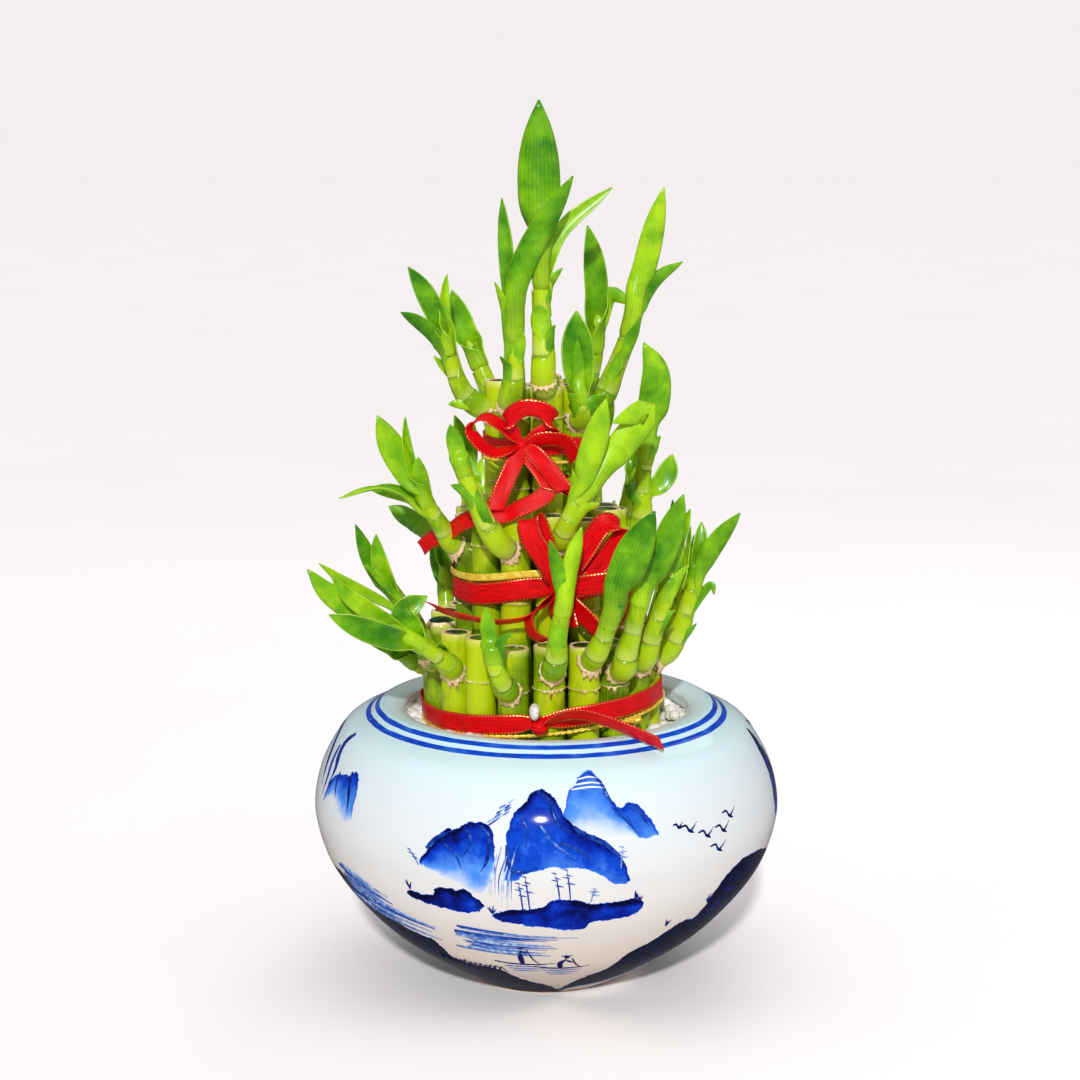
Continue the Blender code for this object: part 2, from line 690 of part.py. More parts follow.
def build_ribbon(name, tier, tie, collection, surface):
    """A ribbon: its band round the canes, its knot, and the loops and tails of its bow."""
    inner = tier.ring_radius + tier.cane_radius + 2 * GAP
    outer = inner + RIBBON_THICKNESS
    low, high = -tie.width / 2, tie.width / 2
    profile = [(inner, high), (outer, high), (outer, low), (inner, low), (inner, high)]
    band = turned(name, profile, BAND_SEGMENTS, collection, surface)
    band.location = (tier.shift, 0, tie.height)
    band.rotation_euler.y = math.radians(-tie.tilt)
    bow = bpy.data.collections.new(name + "_bow")
    bpy.context.scene.collection.children.link(bow)
    knot = mm(tie.knot)
    extras = [rounded_lump("knot", knot, tie.width * 0.5, random.Random(SEED), bow)]
    for i, strip in enumerate(tie.strips):
        points = [mm(point) for point in strip.points]
        ends = [points[0], points[-1]] if strip.loop else [points[0]]
        roots = [knot.lerp(end, INTO_KNOT) for end in ends]
        points = [roots[0], *points, *roots[1:]]
        across = Vector(strip.across)
        extras.append(ribbon_strip(f"strip_{i}", points, tie.width * 0.9, across, bow))
    joined = united(band, extras, bow)
    bpy.data.collections.remove(bow)
    return joined


def build_wire(name, tier, tie, collection, surface):
    """The gold wire: one turn round the canes, with its ends twisted together."""
    radius = tier.ring_radius + tier.cane_radius + 2 * GAP + WIRE_RADIUS
    tipped = Matrix.Rotation(math.radians(-tie.tilt), 4, "Y")
    centre = Vector((tier.shift, 0, tie.height))
    rise = Vector((0, 0, tie.wire_rise))
    steps = BAND_SEGMENTS
    path = [centre + tipped @ (heading_vector(i * 360 / steps) * radius + rise) for i in range(steps)]
    hoop = tube(name, path, [WIRE_RADIUS] * steps, collection, closed=True, fine=0)
    hoop.data.materials.clear()
    hoop.data.materials.append(surface)
    ends = bpy.data.collections.new(name + "_twist")
    bpy.context.scene.collection.children.link(ends)
    root = centre + tipped @ (heading_vector(tie.twist) * radius + rise)
    along, outward = TWIST_REACH
    tip = root + heading_vector(tie.twist + 70) * along + heading_vector(tie.twist) * outward
    extras = [tube("twist", [root, root.lerp(tip, 0.5), tip], [TWIST_RADIUS] * 3, ends)]
    joined = united(hoop, extras, ends)
    bpy.data.collections.remove(ends)
    return joined


def main():
    """Clears the scene and builds every piece."""
    for old in list(bpy.data.objects):
        bpy.data.objects.remove(old)
    collection = bpy.data.collections.new(COLLECTION)
    bpy.context.scene.collection.children.link(collection)
    cutters = bpy.data.collections.new("cutters")
    bpy.context.scene.collection.children.link(cutters)
    porcelain = material("glazed_porcelain", (0.78, 0.80, 0.84), 0.12)
    stone = material("white_pebble", (0.83, 0.81, 0.77), 0.35)
    green = material("bamboo_green", (0.30, 0.49, 0.02), 0.3)
    satin = material("red_satin", (0.70, 0.005, 0.01), 0.35)
    gold = material("gold_wire", (0.62, 0.42, 0.03), 0.3, 0.9)
    build_bowl(collection, porcelain)
    build_pebble_bed(collection, cutters, stone)
    build_canes(collection, green)
    for tier_name, tie in TIES.items():
        tier = TIERS[tier_name]
        build_ribbon(f"ribbon_{tier_name}", tier, tie, collection, satin)
        build_wire(f"gold_tie_{tier_name}", tier, tie, collection, gold)


main()
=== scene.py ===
"""Looks of the lucky bamboo: leafy canes in three tied tiers, pebbles and a painted porcelain bowl.

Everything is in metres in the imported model's frame: +Z is up, -Y is the front, and the origin is
the centre of the bowl's flat base. A heading is an angle in degrees round the tower: 0 is the
front, 90 is +X. Names that end in _MM, and points in the tables, are in millimetres.
"""

import logging
import math
import random
from dataclasses import dataclass
from enum import Enum
from typing import Callable, Optional, Sequence

import bmesh
import bpy
from bpy.types import Material, NodeSocket, NodeTree, Object
from mathutils import Matrix, Vector, noise

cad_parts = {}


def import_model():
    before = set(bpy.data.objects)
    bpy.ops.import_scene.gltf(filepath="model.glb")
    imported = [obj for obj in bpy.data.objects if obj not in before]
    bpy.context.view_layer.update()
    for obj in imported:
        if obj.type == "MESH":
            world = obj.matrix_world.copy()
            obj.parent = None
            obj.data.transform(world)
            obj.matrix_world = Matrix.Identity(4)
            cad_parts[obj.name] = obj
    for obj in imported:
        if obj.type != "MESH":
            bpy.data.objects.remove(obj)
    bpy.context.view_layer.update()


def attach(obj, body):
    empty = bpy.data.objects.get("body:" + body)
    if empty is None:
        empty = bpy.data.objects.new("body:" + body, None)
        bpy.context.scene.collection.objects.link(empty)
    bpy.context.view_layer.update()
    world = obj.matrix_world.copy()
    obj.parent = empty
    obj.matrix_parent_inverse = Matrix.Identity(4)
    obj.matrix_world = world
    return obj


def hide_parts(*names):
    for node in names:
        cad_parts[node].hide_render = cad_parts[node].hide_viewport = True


Spot = tuple[Vector, float, float]  # a point of a surface, and its along and across

LOG = logging.getLogger("lucky_bamboo")
MM = 0.001
BODY = "root"
UP = Vector((0, 0, 1))
MERGE = 0.001 * MM  # corners closer than this are one

SEED = 41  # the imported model's own, so that both draw the same canes
LOOK_SEED = 7
HEIGHT_SPREAD_MM = 2.5
STEM_RADII_MM = (5.0, 2.7)
BROADEST = 0.56  # where a leaf is broadest, as a share of its length
KNOT_ROOT = 0.1  # where a strip starts, as a share of the way from the knot to its first point
DOMED_CANE = "cane_outer_16"  # its wax was poured on thick
FOIL_TIER = "middle"  # its gold tie is flat foil; the others are twisted wire

OUTER_WALL_MM = (
    (38, 0), (42, 3), (56, 12), (75, 26), (91, 43), (101, 58), (106, 73),
    (107, 84), (104.5, 97), (99.5, 108), (92, 118.5), (82, 123.5),
)
LIP_MM = ((76.5, 127.2), (71.5, 127.5), (67, 126.5), (65, 124.5))
INNER_WALL_MM = ((67, 118.5), (80, 113), (94, 103), (101, 90), (101, 72), (89, 47), (66, 24), (36, 7))

MATH = "ShaderNodeMath"
MIX = "ShaderNodeMix"  # mixes colours here, so its output is number 2
NOISE = "ShaderNodeTexNoise"
RAMP = "ShaderNodeValToRGB"
CURVE = "ShaderNodeFloatCurve"
RANGE = "ShaderNodeMapRange"  # its inputs: the value, its lowest and highest, and what they come to
BUMP = "ShaderNodeBump"
ATTRIBUTE = "ShaderNodeAttribute"
PLACE = "ShaderNodeTexCoord"
MAPPING = "ShaderNodeMapping"
VECTOR = "ShaderNodeVectorMath"
SPLIT = "ShaderNodeSeparateXYZ"


@dataclass(frozen=True)
class Tier:
    """One ring of canes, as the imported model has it.

    Attributes:
        count: How many canes it has.
        ring_radius: Radius of the circle that their axes stand on.
        cane_radius: Radius of a cane.
        turn: Heading of the first cane.
        shift: How far the ring's centre stands to the right of the bowl's.
        top: Mean height of the cut tops.
        foot: Height of the canes' feet.
        node_rings: Depth of each node ring below the top, in millimetres.
    """

    count: int
    ring_radius: float
    cane_radius: float
    turn: float
    shift: float
    top: float
    foot: float
    node_rings: tuple


@dataclass(frozen=True)
class Leaf:
    """One blade of a shoot.

    Attributes:
        at: Where it leaves the stem, as a share of the stem.
        reach: Its tip, counted from there in millimetres.
        width: Its greatest width in millimetres.
        face: The heading that its flat side looks at; None for up.
        via: Points that it arches through on the way to its tip.
    """

    at: float
    reach: tuple
    width: float
    face: Optional[float] = 0
    via: tuple = ()


@dataclass(frozen=True)
class Shoot:
    """A leafy side shoot: its drop below the cane's top, its centre line and its blades."""

    drop: float
    stem: tuple
    leaves: tuple


TIERS = {
    "outer": Tier(19, 47.8 * MM, 7.05 * MM, 3.7, -2.0 * MM, 165 * MM, 20 * MM, (19,)),
    "middle": Tier(13, 33.0 * MM, 6.85 * MM, 8.4, -2.6 * MM, 218 * MM, 11.6 * MM, (15, 40)),
    "inner": Tier(7, 17.6 * MM, 6.9 * MM, 13.4, -3.5 * MM, 275 * MM, 7.3 * MM, (13, 45)),
    "centre": Tier(1, 0.0, 6.9 * MM, 0.0, -3.5 * MM, 271 * MM, 7.3 * MM, (20,)),
}

# Shoots that are listed one by one, by tier and cane.
SHOOTS = {
    ("inner", 0): Shoot(7, ((-2, -8, 10), (-2, -8, 22), (-3, -4, 45), (-3, -3, 64)), (
        Leaf(0.95, (-1, 4, 70), 19.5, via=((-1, 2, 41),)),
        Leaf(0.45, (-2, -5, 16), 9, face=-5),
        Leaf(0.75, (31, 9, 46), 7, via=((8, 5, 26),)),
        Leaf(0.65, (9, 3, 18), 5, face=40),
        Leaf(0.35, (5, -5, 14), 5, face=40),
    )),
    ("inner", 1): Shoot(17, ((3, -8, 2), (4, -12, 6), (3, -13, 12)), (
        Leaf(0.45, (-6, -8, 12), 6, face=-20),
        Leaf(0.5, (10, -6, 10), 7, face=30),
        Leaf(0.8, (-3, 0, 42), 15),
        Leaf(1.0, (-2, -4, 26), 6),
    )),
    ("inner", 2): Shoot(13, ((12, 4, 3), (19, 5, 17), (25, 5, 33), (30, 5, 49)), (
        Leaf(0.85, (13, -5, 59), 11.5, face=10, via=((5, -2, 23),)),
        Leaf(0.8, (23, 1, 29), 6.5, face=20, via=((10, 2, 19),)),
        Leaf(0.5, (10, -3, 22), 6, face=20),
        Leaf(0.3, (9, -4, 20), 6.5),
        Leaf(0.15, (11, -2, 9), 4),
    )),
    ("inner", 3): Shoot(15, ((12, 7, 3), (20, 8, 15), (23, 9, 29), (24, 9, 38)), (
        Leaf(0.9, (-5, -2, 51), 11),
        Leaf(0.85, (16, -2, 18), 8, via=((5, 2, 21),)),
    )),
    ("inner", 4): Shoot(13, ((-10, 5, 6), (-15, 7, 16), (-19, 9, 24), (-21, 10, 28)), (
        Leaf(0.8, (-11, 4, 31), 11),
        Leaf(0.3, (-9, 1, 24), 6),
    )),
    ("inner", 5): Shoot(16, ((-12, -2, 7), (-18, -3, 15), (-22, -4, 27), (-24, -5, 36)), (
        Leaf(0.9, (-17, -4, 36), 9.5, face=15),
        Leaf(0.75, (-22, -8, 23), 8, face=-30),
        Leaf(1.0, (1, 4, 28), 5.5, face=30),
        Leaf(0.4, (-15, 0, 17), 4),
        Leaf(0.15, (-17, -6, 3), 5),
    )),
    ("inner", 6): Shoot(12, ((-2, -8, 4), (0, -10, 15), (0, -10, 33), (-1, -11, 46)), (
        Leaf(0.4, (3, -7, 24), 8.5),
        Leaf(0.85, (26, -6, 65), 11.5, face=10, via=((4, -3, 25),)),
        Leaf(0.8, (-5, 5, 58), 7.5, face=-20),
        Leaf(0.55, (-8, -3, 35), 5.5, face=-40),
        Leaf(0.3, (-5, -8, 16), 5, face=-40),
    )),
    ("middle", 0): Shoot(12, ((4, -8, 4), (7, -13, 12), (10, -15, 20), (13, -16, 27)), (
        Leaf(0.85, (12, -8, 45), 12, face=10, via=((7, -6, 24),)),
        Leaf(0.9, (14, -4, 33), 14, face=10, via=((18, 2, 21), (29, 4, 36))),
        Leaf(0.5, (14, -7, 11), 5, face=40),
        Leaf(0.6, (1, -6, 23), 4.5, face=-30),
    )),
    ("middle", 3): Shoot(15, ((10, -3, 2), (13, -3, 9), (13, -3, 22), (14, -3, 34), (17, -3, 46)), (
        Leaf(0.95, (-3, 4, 46), 15, face=10, via=((3, 2, 29),)),
        Leaf(0.55, (14, 6, 17), 10, via=((10, 4, 6),)),
        Leaf(0.85, (6, -2, 10), 4.5, face=20),
        Leaf(0.45, (-8, -5, 10), 8),
    )),
    ("middle", 9): Shoot(16, ((-10, 2, 0), (-18, 4, 1), (-25, 6, 6)), (
        Leaf(0.8, (-17, 2, 11), 9),
        Leaf(0.6, (-6, 2, 13), 5),
    )),
    ("middle", 10): Shoot(19, ((-8, -6, 5), (-14, -9, 15), (-21, -11, 26)), (
        Leaf(0.95, (-20, -6, 39), 12.5, face=20),
        Leaf(1.0, (-7, 2, 36), 6, face=40),
        Leaf(0.8, (-5, -5, 25), 8),
        Leaf(0.85, (-39, -11, 6), 9, face=None, via=((-20, -6, 9),)),
        Leaf(0.8, (-28, 5, 9), 7, face=-20),
    )),
    ("middle", 12): Shoot(15, (
        (-6, -9, 4), (-12, -13, 13), (-17, -14, 24), (-22, -14, 36), (-25, -14, 45),
    ), (
        Leaf(1.0, (-3, 0, 13), 7.5),
        Leaf(0.55, (-5, 7, 23), 9, face=20),
        Leaf(0.5, (0, 8, 24), 6, face=20),
        Leaf(0.6, (-11, -5, 9), 4.5, face=-20),
        Leaf(0.35, (-6, -7, 20), 5, face=20),
    )),
    ("outer", 0): Shoot(13, ((2, -10, 4), (3, -14, 11), (4, -15, 21), (7, -15, 38)), (
        Leaf(0.95, (7, -3, 32), 8, face=20, via=((3, -2, 16),)),
        Leaf(0.9, (-6, -4, 29), 6.5, face=-20, via=((-3, -3, 16),)),
        Leaf(0.45, (0, -5, 14), 8),
    )),
    ("outer", 1): Shoot(11, ((4, -9, 6), (8, -16, 16), (11, -19, 27), (13, -21, 35)), (
        Leaf(0.8, (18, -9, 47), 16.5, face=5, via=((8, -7, 24),)),
        Leaf(0.7, (0, -6, 22), 4.5, face=-20),
        Leaf(0.55, (8, -9, 17), 7, face=20),
    )),
    ("outer", 2): Shoot(15, ((4, -10, 3), (5, -14, 10), (8, -16, 23), (10, -17, 34), (12, -18, 45)), (
        Leaf(0.75, (19, -5, 51), 13.5, face=15, via=((12, -3, 27),)),
        Leaf(0.95, (5, -2, 17), 7),
    )),
    ("outer", 3): Shoot(15, ((4, -9, 4), (6, -12, 13), (10, -14, 26), (13, -15, 35), (15, -16, 44)), (
        Leaf(0.9, (6, -2, 24), 8),
        Leaf(0.75, (11, -1, 17), 5, face=30),
        Leaf(0.45, (10, -3, 12), 4, face=30),
    )),
    ("outer", 4): Shoot(17, ((9, -3, 4), (14, -5, 13), (17, -6, 21), (20, -7, 32), (23, -8, 45)), (
        Leaf(0.8, (20, -10, 37), 9.5, face=20, via=((9, -6, 20),)),
        Leaf(0.95, (2, -3, 15), 6),
        Leaf(0.9, (3, 5, 25), 7),
        Leaf(0.55, (13, -7, 12), 4, via=((11, -5, 16),)),
        Leaf(0.25, (12, -4, 13), 4, face=30),
    )),
    ("outer", 14): Shoot(22, ((-9, -2, 1), (-12, -3, 4)), (
        Leaf(0.8, (-9, -5, 5), 6),
        Leaf(0.9, (-25, -1, 13), 7),
    )),
    ("outer", 15): Shoot(19, ((-5, -5, 7), (-13, -9, 27), (-17, -10, 32), (-19, -11, 34)), (
        Leaf(1.0, (-18, -4, 35), 8, face=20, via=((-9, -2, 13),)),
        Leaf(0.95, (-10, -7, 32), 8),
        Leaf(0.95, (-15, -10, 19), 4, via=((-9, -8, 13),)),
        Leaf(0.8, (-38, -20, 26), 5, via=((-25, -14, 15),)),
    )),
    ("outer", 16): Shoot(18, ((-4, -13, 8), (-10, -18, 14), (-17, -21, 20)), (
        Leaf(0.85, (-40, -14, 17), 11.5, via=((-19, -10, 8),)),
        Leaf(1.0, (-46, -4, 32), 11.5, face=10, via=((-33, -2, 18),)),
        Leaf(1.0, (-35, -10, 30), 8, face=20, via=((-25, -6, 18),)),
        Leaf(0.8, (0, 2, 23), 12, via=((-10, 0, 15),)),
        Leaf(0.35, (-3, -14, 11), 5),
    )),
    ("outer", 18): Shoot(22, ((-3, -9, 3), (-6, -16, 11), (-9, -17, 19), (-10, -17, 25)), (
        Leaf(0.9, (-2, 0, 20), 7),
        Leaf(0.6, (6, -6, 20), 4.5, via=((1, -4, 15),)),
    )),
}
# Canes at the back whose shoots follow the rule in grown_shoot: the heading that each shoot
# leans to, and its stem's height in millimetres.
GROWN = {
    ("outer", 5): (105, 26), ("outer", 6): (125, 34), ("outer", 7): (150, 38),
    ("outer", 8): (158, 30), ("outer", 9): (176, 36), ("outer", 10): (190, 28),
    ("outer", 11): (180, 34), ("outer", 12): (205, 24),
    ("middle", 4): (118, 22), ("middle", 5): (160, 34), ("middle", 6): (180, 40),
    ("middle", 7): (178, 32), ("middle", 8): (205, 20),
}


@dataclass(frozen=True)
class Strip:
    """A stretch of ribbon that leaves the knot.

    Attributes:
        points: Points of its middle line in millimetres.
        across: The way its width runs.
        loop: Whether it comes back to the knot.
    """

    points: tuple
    across: tuple
    loop: bool = False


@dataclass(frozen=True)
class Tie:
    """A ribbon round one ring of canes, with its gold tie beside it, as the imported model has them.

    Attributes:
        height: Height of the band's middle.
        width: Width of the ribbon as it lies.
        tilt: How far the band is tipped, in degrees; its left side is the lower one.
        wire_rise: How far above the band's middle the gold tie runs.
        knot: Centre of the knot in millimetres.
        strips: The loops and tails of the bow.
        twist: Heading where the gold tie's ends are twisted together.
    """

    height: float
    width: float
    tilt: float
    wire_rise: float
    knot: tuple
    strips: tuple
    twist: float


TIES = {
    "inner": Tie(248 * MM, 8 * MM, 0, -6.5 * MM, (-11, -28, 250), (
        Strip(((-19, -31, 258), (-27, -33, 262), (-33, -36, 257), (-24, -36, 248)),
              (-0.5, -0.8, -0.3), True),
        Strip(((-17, -32, 260), (-10, -37, 267), (0, -36, 265), (2, -32, 258)), (0, -0.3, 1), True),
        Strip(((-14, -33, 243), (-19, -36, 232), (-23, -38, 222)), (1, 0, -0.4)),
        Strip(((-5, -32, 246), (1, -35, 240), (8, -38, 231)), (0.7, 0, 0.7)),
        Strip(((1, -31, 253), (9, -30, 251), (13, -29, 244)), (0.3, -0.5, 0.8)),
    ), 150),
    "middle": Tie(188 * MM, 10 * MM, 0, 6.8 * MM, (5, -43, 188), (
        Strip(((1, -47, 198), (-5, -50, 212), (0, -51, 217), (6, -48, 204)), (0.9, -0.3, 0.2), True),
        Strip(((16, -46, 205), (25, -47, 218), (33, -47, 214), (23, -46, 200)), (0.6, -0.5, -0.6), True),
        Strip(((15, -50, 191), (26, -52, 193), (31, -47, 193), (24, -43, 191)), (0.1, -0.2, 1), True),
        Strip(((8, -48, 180), (10, -51, 173)), (0.8, -0.6, 0.2)),
        Strip(((12, -46, 181), (18, -49, 176), (23, -50, 171)), (0.6, -0.6, 0.5)),
        Strip(((-1, -46, 183), (-8, -50, 177), (-22, -47, 174), (-38, -38, 175), (-50, -27, 177),
               (-52, -8, 178)), (-0.7, -0.6, 0.4)),
    ), 200),
    "outer": Tie(131.5 * MM, 9 * MM, 5.2, -5.6 * MM, (-3, -59, 130), (
        Strip(((6, -62, 136), (16, -64, 137), (28, -67, 134), (40, -71, 130.5), (49, -74, 128.6)),
              (0.25, -0.5, 0.8)),
    ), 40),
}


def mm(point: Sequence[float]) -> Vector:
    """A point or an offset given in millimetres, as a Vector in metres."""
    return Vector(point) * MM


def heading_vector(heading: float) -> Vector:
    """The level unit vector that points to a heading."""
    turned = math.radians(heading)
    return Vector((math.sin(turned), -math.cos(turned), 0))


def ease(low: float, high: float, value: float) -> float:
    """A smooth step from 0 at low to 1 at high."""
    share = min(max((value - low) / (high - low), 0.0), 1.0)
    return share * share * (3 - 2 * share)


def smooth_path(points: Sequence[Vector], steps: int) -> list[Vector]:
    """Points of a Catmull-Rom curve through the given ones.

    Args:
        points: The points to pass through.
        steps: How many points each span gets.

    Returns:
        The finer path, ending on the last point.
    """
    ends = [2 * points[0] - points[1], *points, 2 * points[-1] - points[-2]]
    path = []
    for a, b, c, d in zip(ends, ends[1:], ends[2:], ends[3:]):
        for i in range(steps):
            t = i / steps
            path.append(
                b + (c - a) * (t / 2)
                + (2 * a - 5 * b + 4 * c - d) * (t * t / 2)
                + (3 * b - a - 3 * c + d) * (t ** 3 / 2)
            )
    return [*path, points[-1].copy()]


def point_on(path: Sequence[Vector], share: float) -> tuple[Vector, Vector]:
    """The point at a share of a path's length, and the path's direction there.

    Args:
        path: The path's points.
        share: How far along it, from 0 to 1.

    Returns:
        The point and the unit direction.
    """
    lengths = [(b - a).length for a, b in zip(path, path[1:])]
    left = share * sum(lengths)
    for a, b, length in zip(path, path[1:], lengths):
        if left <= length:
            return a.lerp(b, left / length), (b - a).normalized()
        left -= length
    return path[-1].copy(), (path[-1] - path[-2]).normalized()


def path_length(path: Sequence[Vector]) -> float:
    """The length of a path."""
    return sum((b - a).length for a, b in zip(path, path[1:]))


def run_at(path: Sequence[Vector], i: int) -> Vector:
    """The direction of a path at one of its points."""
    return (path[min(i + 1, len(path) - 1)] - path[max(i - 1, 0)]).normalized()


def round_run(run: Vector, side: Vector, angle: float) -> Vector:
    """The unit vector at an angle round a direction, counted from a side of it."""
    return side * math.cos(angle) + run.cross(side) * math.sin(angle)


def shard(teeth: Sequence[float], turn: float, sharp: float) -> float:
    """The length of a torn hem at a place counted in teeth, where each tooth is a pointed shard."""
    return teeth[int(turn) % len(teeth)] * (1 - abs(2 * (turn % 1) - 1)) ** sharp


def put(name: str, data: bpy.types.ID) -> Object:
    """Adds an object to the scene.

    Args:
        name: Its name.
        data: Its mesh, lamp or camera.

    Returns:
        The object.
    """
    made = bpy.data.objects.new(name, data)
    bpy.context.scene.collection.objects.link(made)
    return made


class Clay:
    """A mesh in the making, with float attributes that its materials read.

    The attributes are tone (one random number for each leaf, cane or pebble), along and across
    (a place on the surface, in the unit that the material says).
    """

    def __init__(self) -> None:
        """Starts an empty mesh with its attributes."""
        self.bm = bmesh.new()
        layers = self.bm.verts.layers.float
        self.tone, self.along, self.across = (layers.new(key) for key in ("tone", "along", "across"))

    def mark(self, verts: Sequence, finish: int, tone: float) -> None:
        """Gives new corners their tone and their faces a finish.

        Args:
            verts: The new corners.
            finish: Index of the finish.
            tone: The surface's own random number.
        """
        for vert in verts:
            vert[self.tone] = tone
            for face in vert.link_faces:
                face.material_index = finish
                face.smooth = True

    def sheet(self, columns: int, rows: int, place: Callable[[float, float], Spot],
              finish: int, tone: float, thickness: float = 0.0, closed: bool = False) -> list:
        """Bends a grid into a surface.

        Args:
            columns: Faces across.
            rows: Faces along.
            place: Gives the point, along and across for u from -1 to 1 and v from 0 to 1.
            finish: Index of the finish.
            tone: The surface's own random number.
            thickness: Wall given to the surface; 0 leaves it a single skin.
            closed: Whether its two sides meet, as on a tube.

        Returns:
            The new corners, without those of the wall's other side.
        """
        verts = bmesh.ops.create_grid(self.bm, x_segments=columns, y_segments=rows, size=1)["verts"]
        for vert in verts:
            vert.co, vert[self.along], vert[self.across] = place(vert.co.x, (vert.co.y + 1) / 2)
        if closed:
            bmesh.ops.remove_doubles(self.bm, verts=verts, dist=MERGE)
            verts = [vert for vert in verts if vert.is_valid]
        self.mark(verts, finish, tone)
        faces = list({face for vert in verts for face in vert.link_faces})
        bmesh.ops.recalc_face_normals(self.bm, faces=faces)
        if thickness:
            made = bmesh.ops.solidify(self.bm, geom=faces, thickness=thickness)["geom"]
            self.mark([item for item in made if isinstance(item, bmesh.types.BMVert)], finish, tone)
        return verts

    def turned(self, profile: Sequence[tuple[float, float]], axis: Vector, steps: int, finish: int,
               tone: float) -> list:
        """Spins an outline of (radius, height) round a vertical axis, and returns its corners.

        Args:
            profile: The outline's points.
            axis: The foot of the axis.
            steps: Faces round it.
            finish: Index of the finish.
            tone: The surface's own random number.

        Returns:
            The new corners.
        """
        verts = [self.bm.verts.new((radius, 0, height)) for radius, height in profile]
        edges = [self.bm.edges.new(pair) for pair in zip(verts, verts[1:])]
        before = set(self.bm.verts) - set(verts)
        bmesh.ops.spin(self.bm, geom=verts + edges, cent=(0, 0, 0), axis=UP, dvec=(0, 0, 0), angle=math.tau,
                       steps=steps, use_merge=True, use_normal_flip=False, use_duplicate=False)
        made = [vert for vert in self.bm.verts if vert not in before]
        bmesh.ops.remove_doubles(self.bm, verts=made, dist=MERGE)
        made = [vert for vert in made if vert.is_valid]
        bmesh.ops.transform(self.bm, matrix=Matrix.Translation(axis), verts=made)
        self.mark(made, finish, tone)
        return made

    def ball(self, place: Matrix, finish: int, tone: float, fine: int = 2) -> list:
        """Adds a ball of radius 1, squashed and set by a matrix, and returns its corners.

        Args:
            place: The matrix that squashes, turns and moves it.
            finish: Index of the finish.
            tone: The surface's own random number.
            fine: How many times its faces are divided.

        Returns:
            The new corners.
        """
        verts = bmesh.ops.create_icosphere(self.bm, subdivisions=fine, radius=1, matrix=place)["verts"]
        self.mark(verts, finish, tone)
        return verts

    def piece(self, name: str, finishes: Sequence[Material]) -> Object:
        """Ends the mesh and links it as a named object with its finishes.

        Args:
            name: Its name.
            finishes: Its materials, in the order of their indexes.

        Returns:
            The object.
        """
        bmesh.ops.recalc_face_normals(self.bm, faces=self.bm.faces)
        mesh = bpy.data.meshes.new(name)
        self.bm.to_mesh(mesh)
        self.bm.free()
        for finish in finishes:
            mesh.materials.append(finish)
        made = put(name, mesh)
        LOG.info("%s: %d faces", name, len(mesh.polygons))
        return made


def tube(clay: Clay, path: Sequence[Vector], radius: float, finish: int, tone: float, sides: int = 8) -> None:
    """Adds a thin round wire along a path, closed at both ends.

    Args:
        clay: The mesh to add to.
        path: Its middle line.
        radius: Its radius.
        finish: Index of the finish.
        tone: The surface's own random number.
        sides: Faces round it.
    """
    last = len(path) - 1

    def place(u: float, v: float) -> Spot:
        """A point of the wire's skin.

        Args:
            u: How far round, from -1 to 1.
            v: Along, from 0 to 1.

        Returns:
            The point, along and across.
        """
        i = min(int(v * last + 1e-6), last)
        run = run_at(path, i)
        side = run.orthogonal() if abs(run.z) > 0.9 else run.cross(UP)
        side.normalize()
        thick = 0 if i in (0, last) else radius
        return path[i] + round_run(run, side, u * math.pi) * thick, v, u

    clay.sheet(sides, last, place, finish, tone, closed=True)


def linear(colour: str) -> tuple[float, float, float, float]:
    """An sRGB colour such as "#A8C800" as linear RGBA."""
    parts = [int(colour[i:i + 2], 16) / 255 for i in (1, 3, 5)]
    return (*(c / 12.92 if c <= 0.04045 else ((c + 0.055) / 1.055) ** 2.4 for c in parts), 1.0)


def add(tree: NodeTree, kind: str, inputs: dict | tuple = (), out: object = 0, stops: Sequence = (),
        **settings: object) -> NodeSocket:
    """Adds a shader node.

    Args:
        tree: The material's node tree.
        kind: The node's type name, or what a math node works out, such as "ADD".
        inputs: A value, an sRGB hex colour or another node's output for each input, in order or by
            name or number.
        out: The output to return, by name or number.
        stops: Stops of a ramp as (place, colour), or points of a curve as (x, y).
        settings: The node's own settings.

    Returns:
        The chosen output.
    """
    if not kind.startswith("ShaderNode"):
        kind, settings["operation"] = MATH, kind
    made = tree.nodes.new(kind)
    for key, value in settings.items():
        setattr(made, key, value)
    for key, value in inputs.items() if isinstance(inputs, dict) else enumerate(inputs):
        if isinstance(value, NodeSocket):
            tree.links.new(value, made.inputs[key])
        else:
            made.inputs[key].default_value = linear(value) if isinstance(value, str) else value
    if kind == RAMP:
        elements = made.color_ramp.elements
        while len(elements) < len(stops):
            elements.new(1.0)
        for element, (at, colour) in zip(elements, stops):
            element.position = at
            element.color = linear(colour)
    if kind == CURVE:
        curve = made.mapping.curves[0]
        curve.points[0].location, curve.points[-1].location = stops[0], stops[-1]
        for stop in stops[1:-1]:
            curve.points.new(*stop)
        made.mapping.update()
    return made.outputs[out]


def new_finish(name: str, **shader: float) -> tuple[Material, NodeTree]:
    """Starts a material.

    Args:
        name: Its name.
        shader: A value for each of the shader's inputs, with _ for a space.

    Returns:
        The material and its node tree.
    """
    made = bpy.data.materials.new(name)
    made.use_nodes = True
    for key, value in shader.items():
        made.node_tree.nodes["Principled BSDF"].inputs[key.replace("_", " ")].default_value = value
    return made, made.node_tree


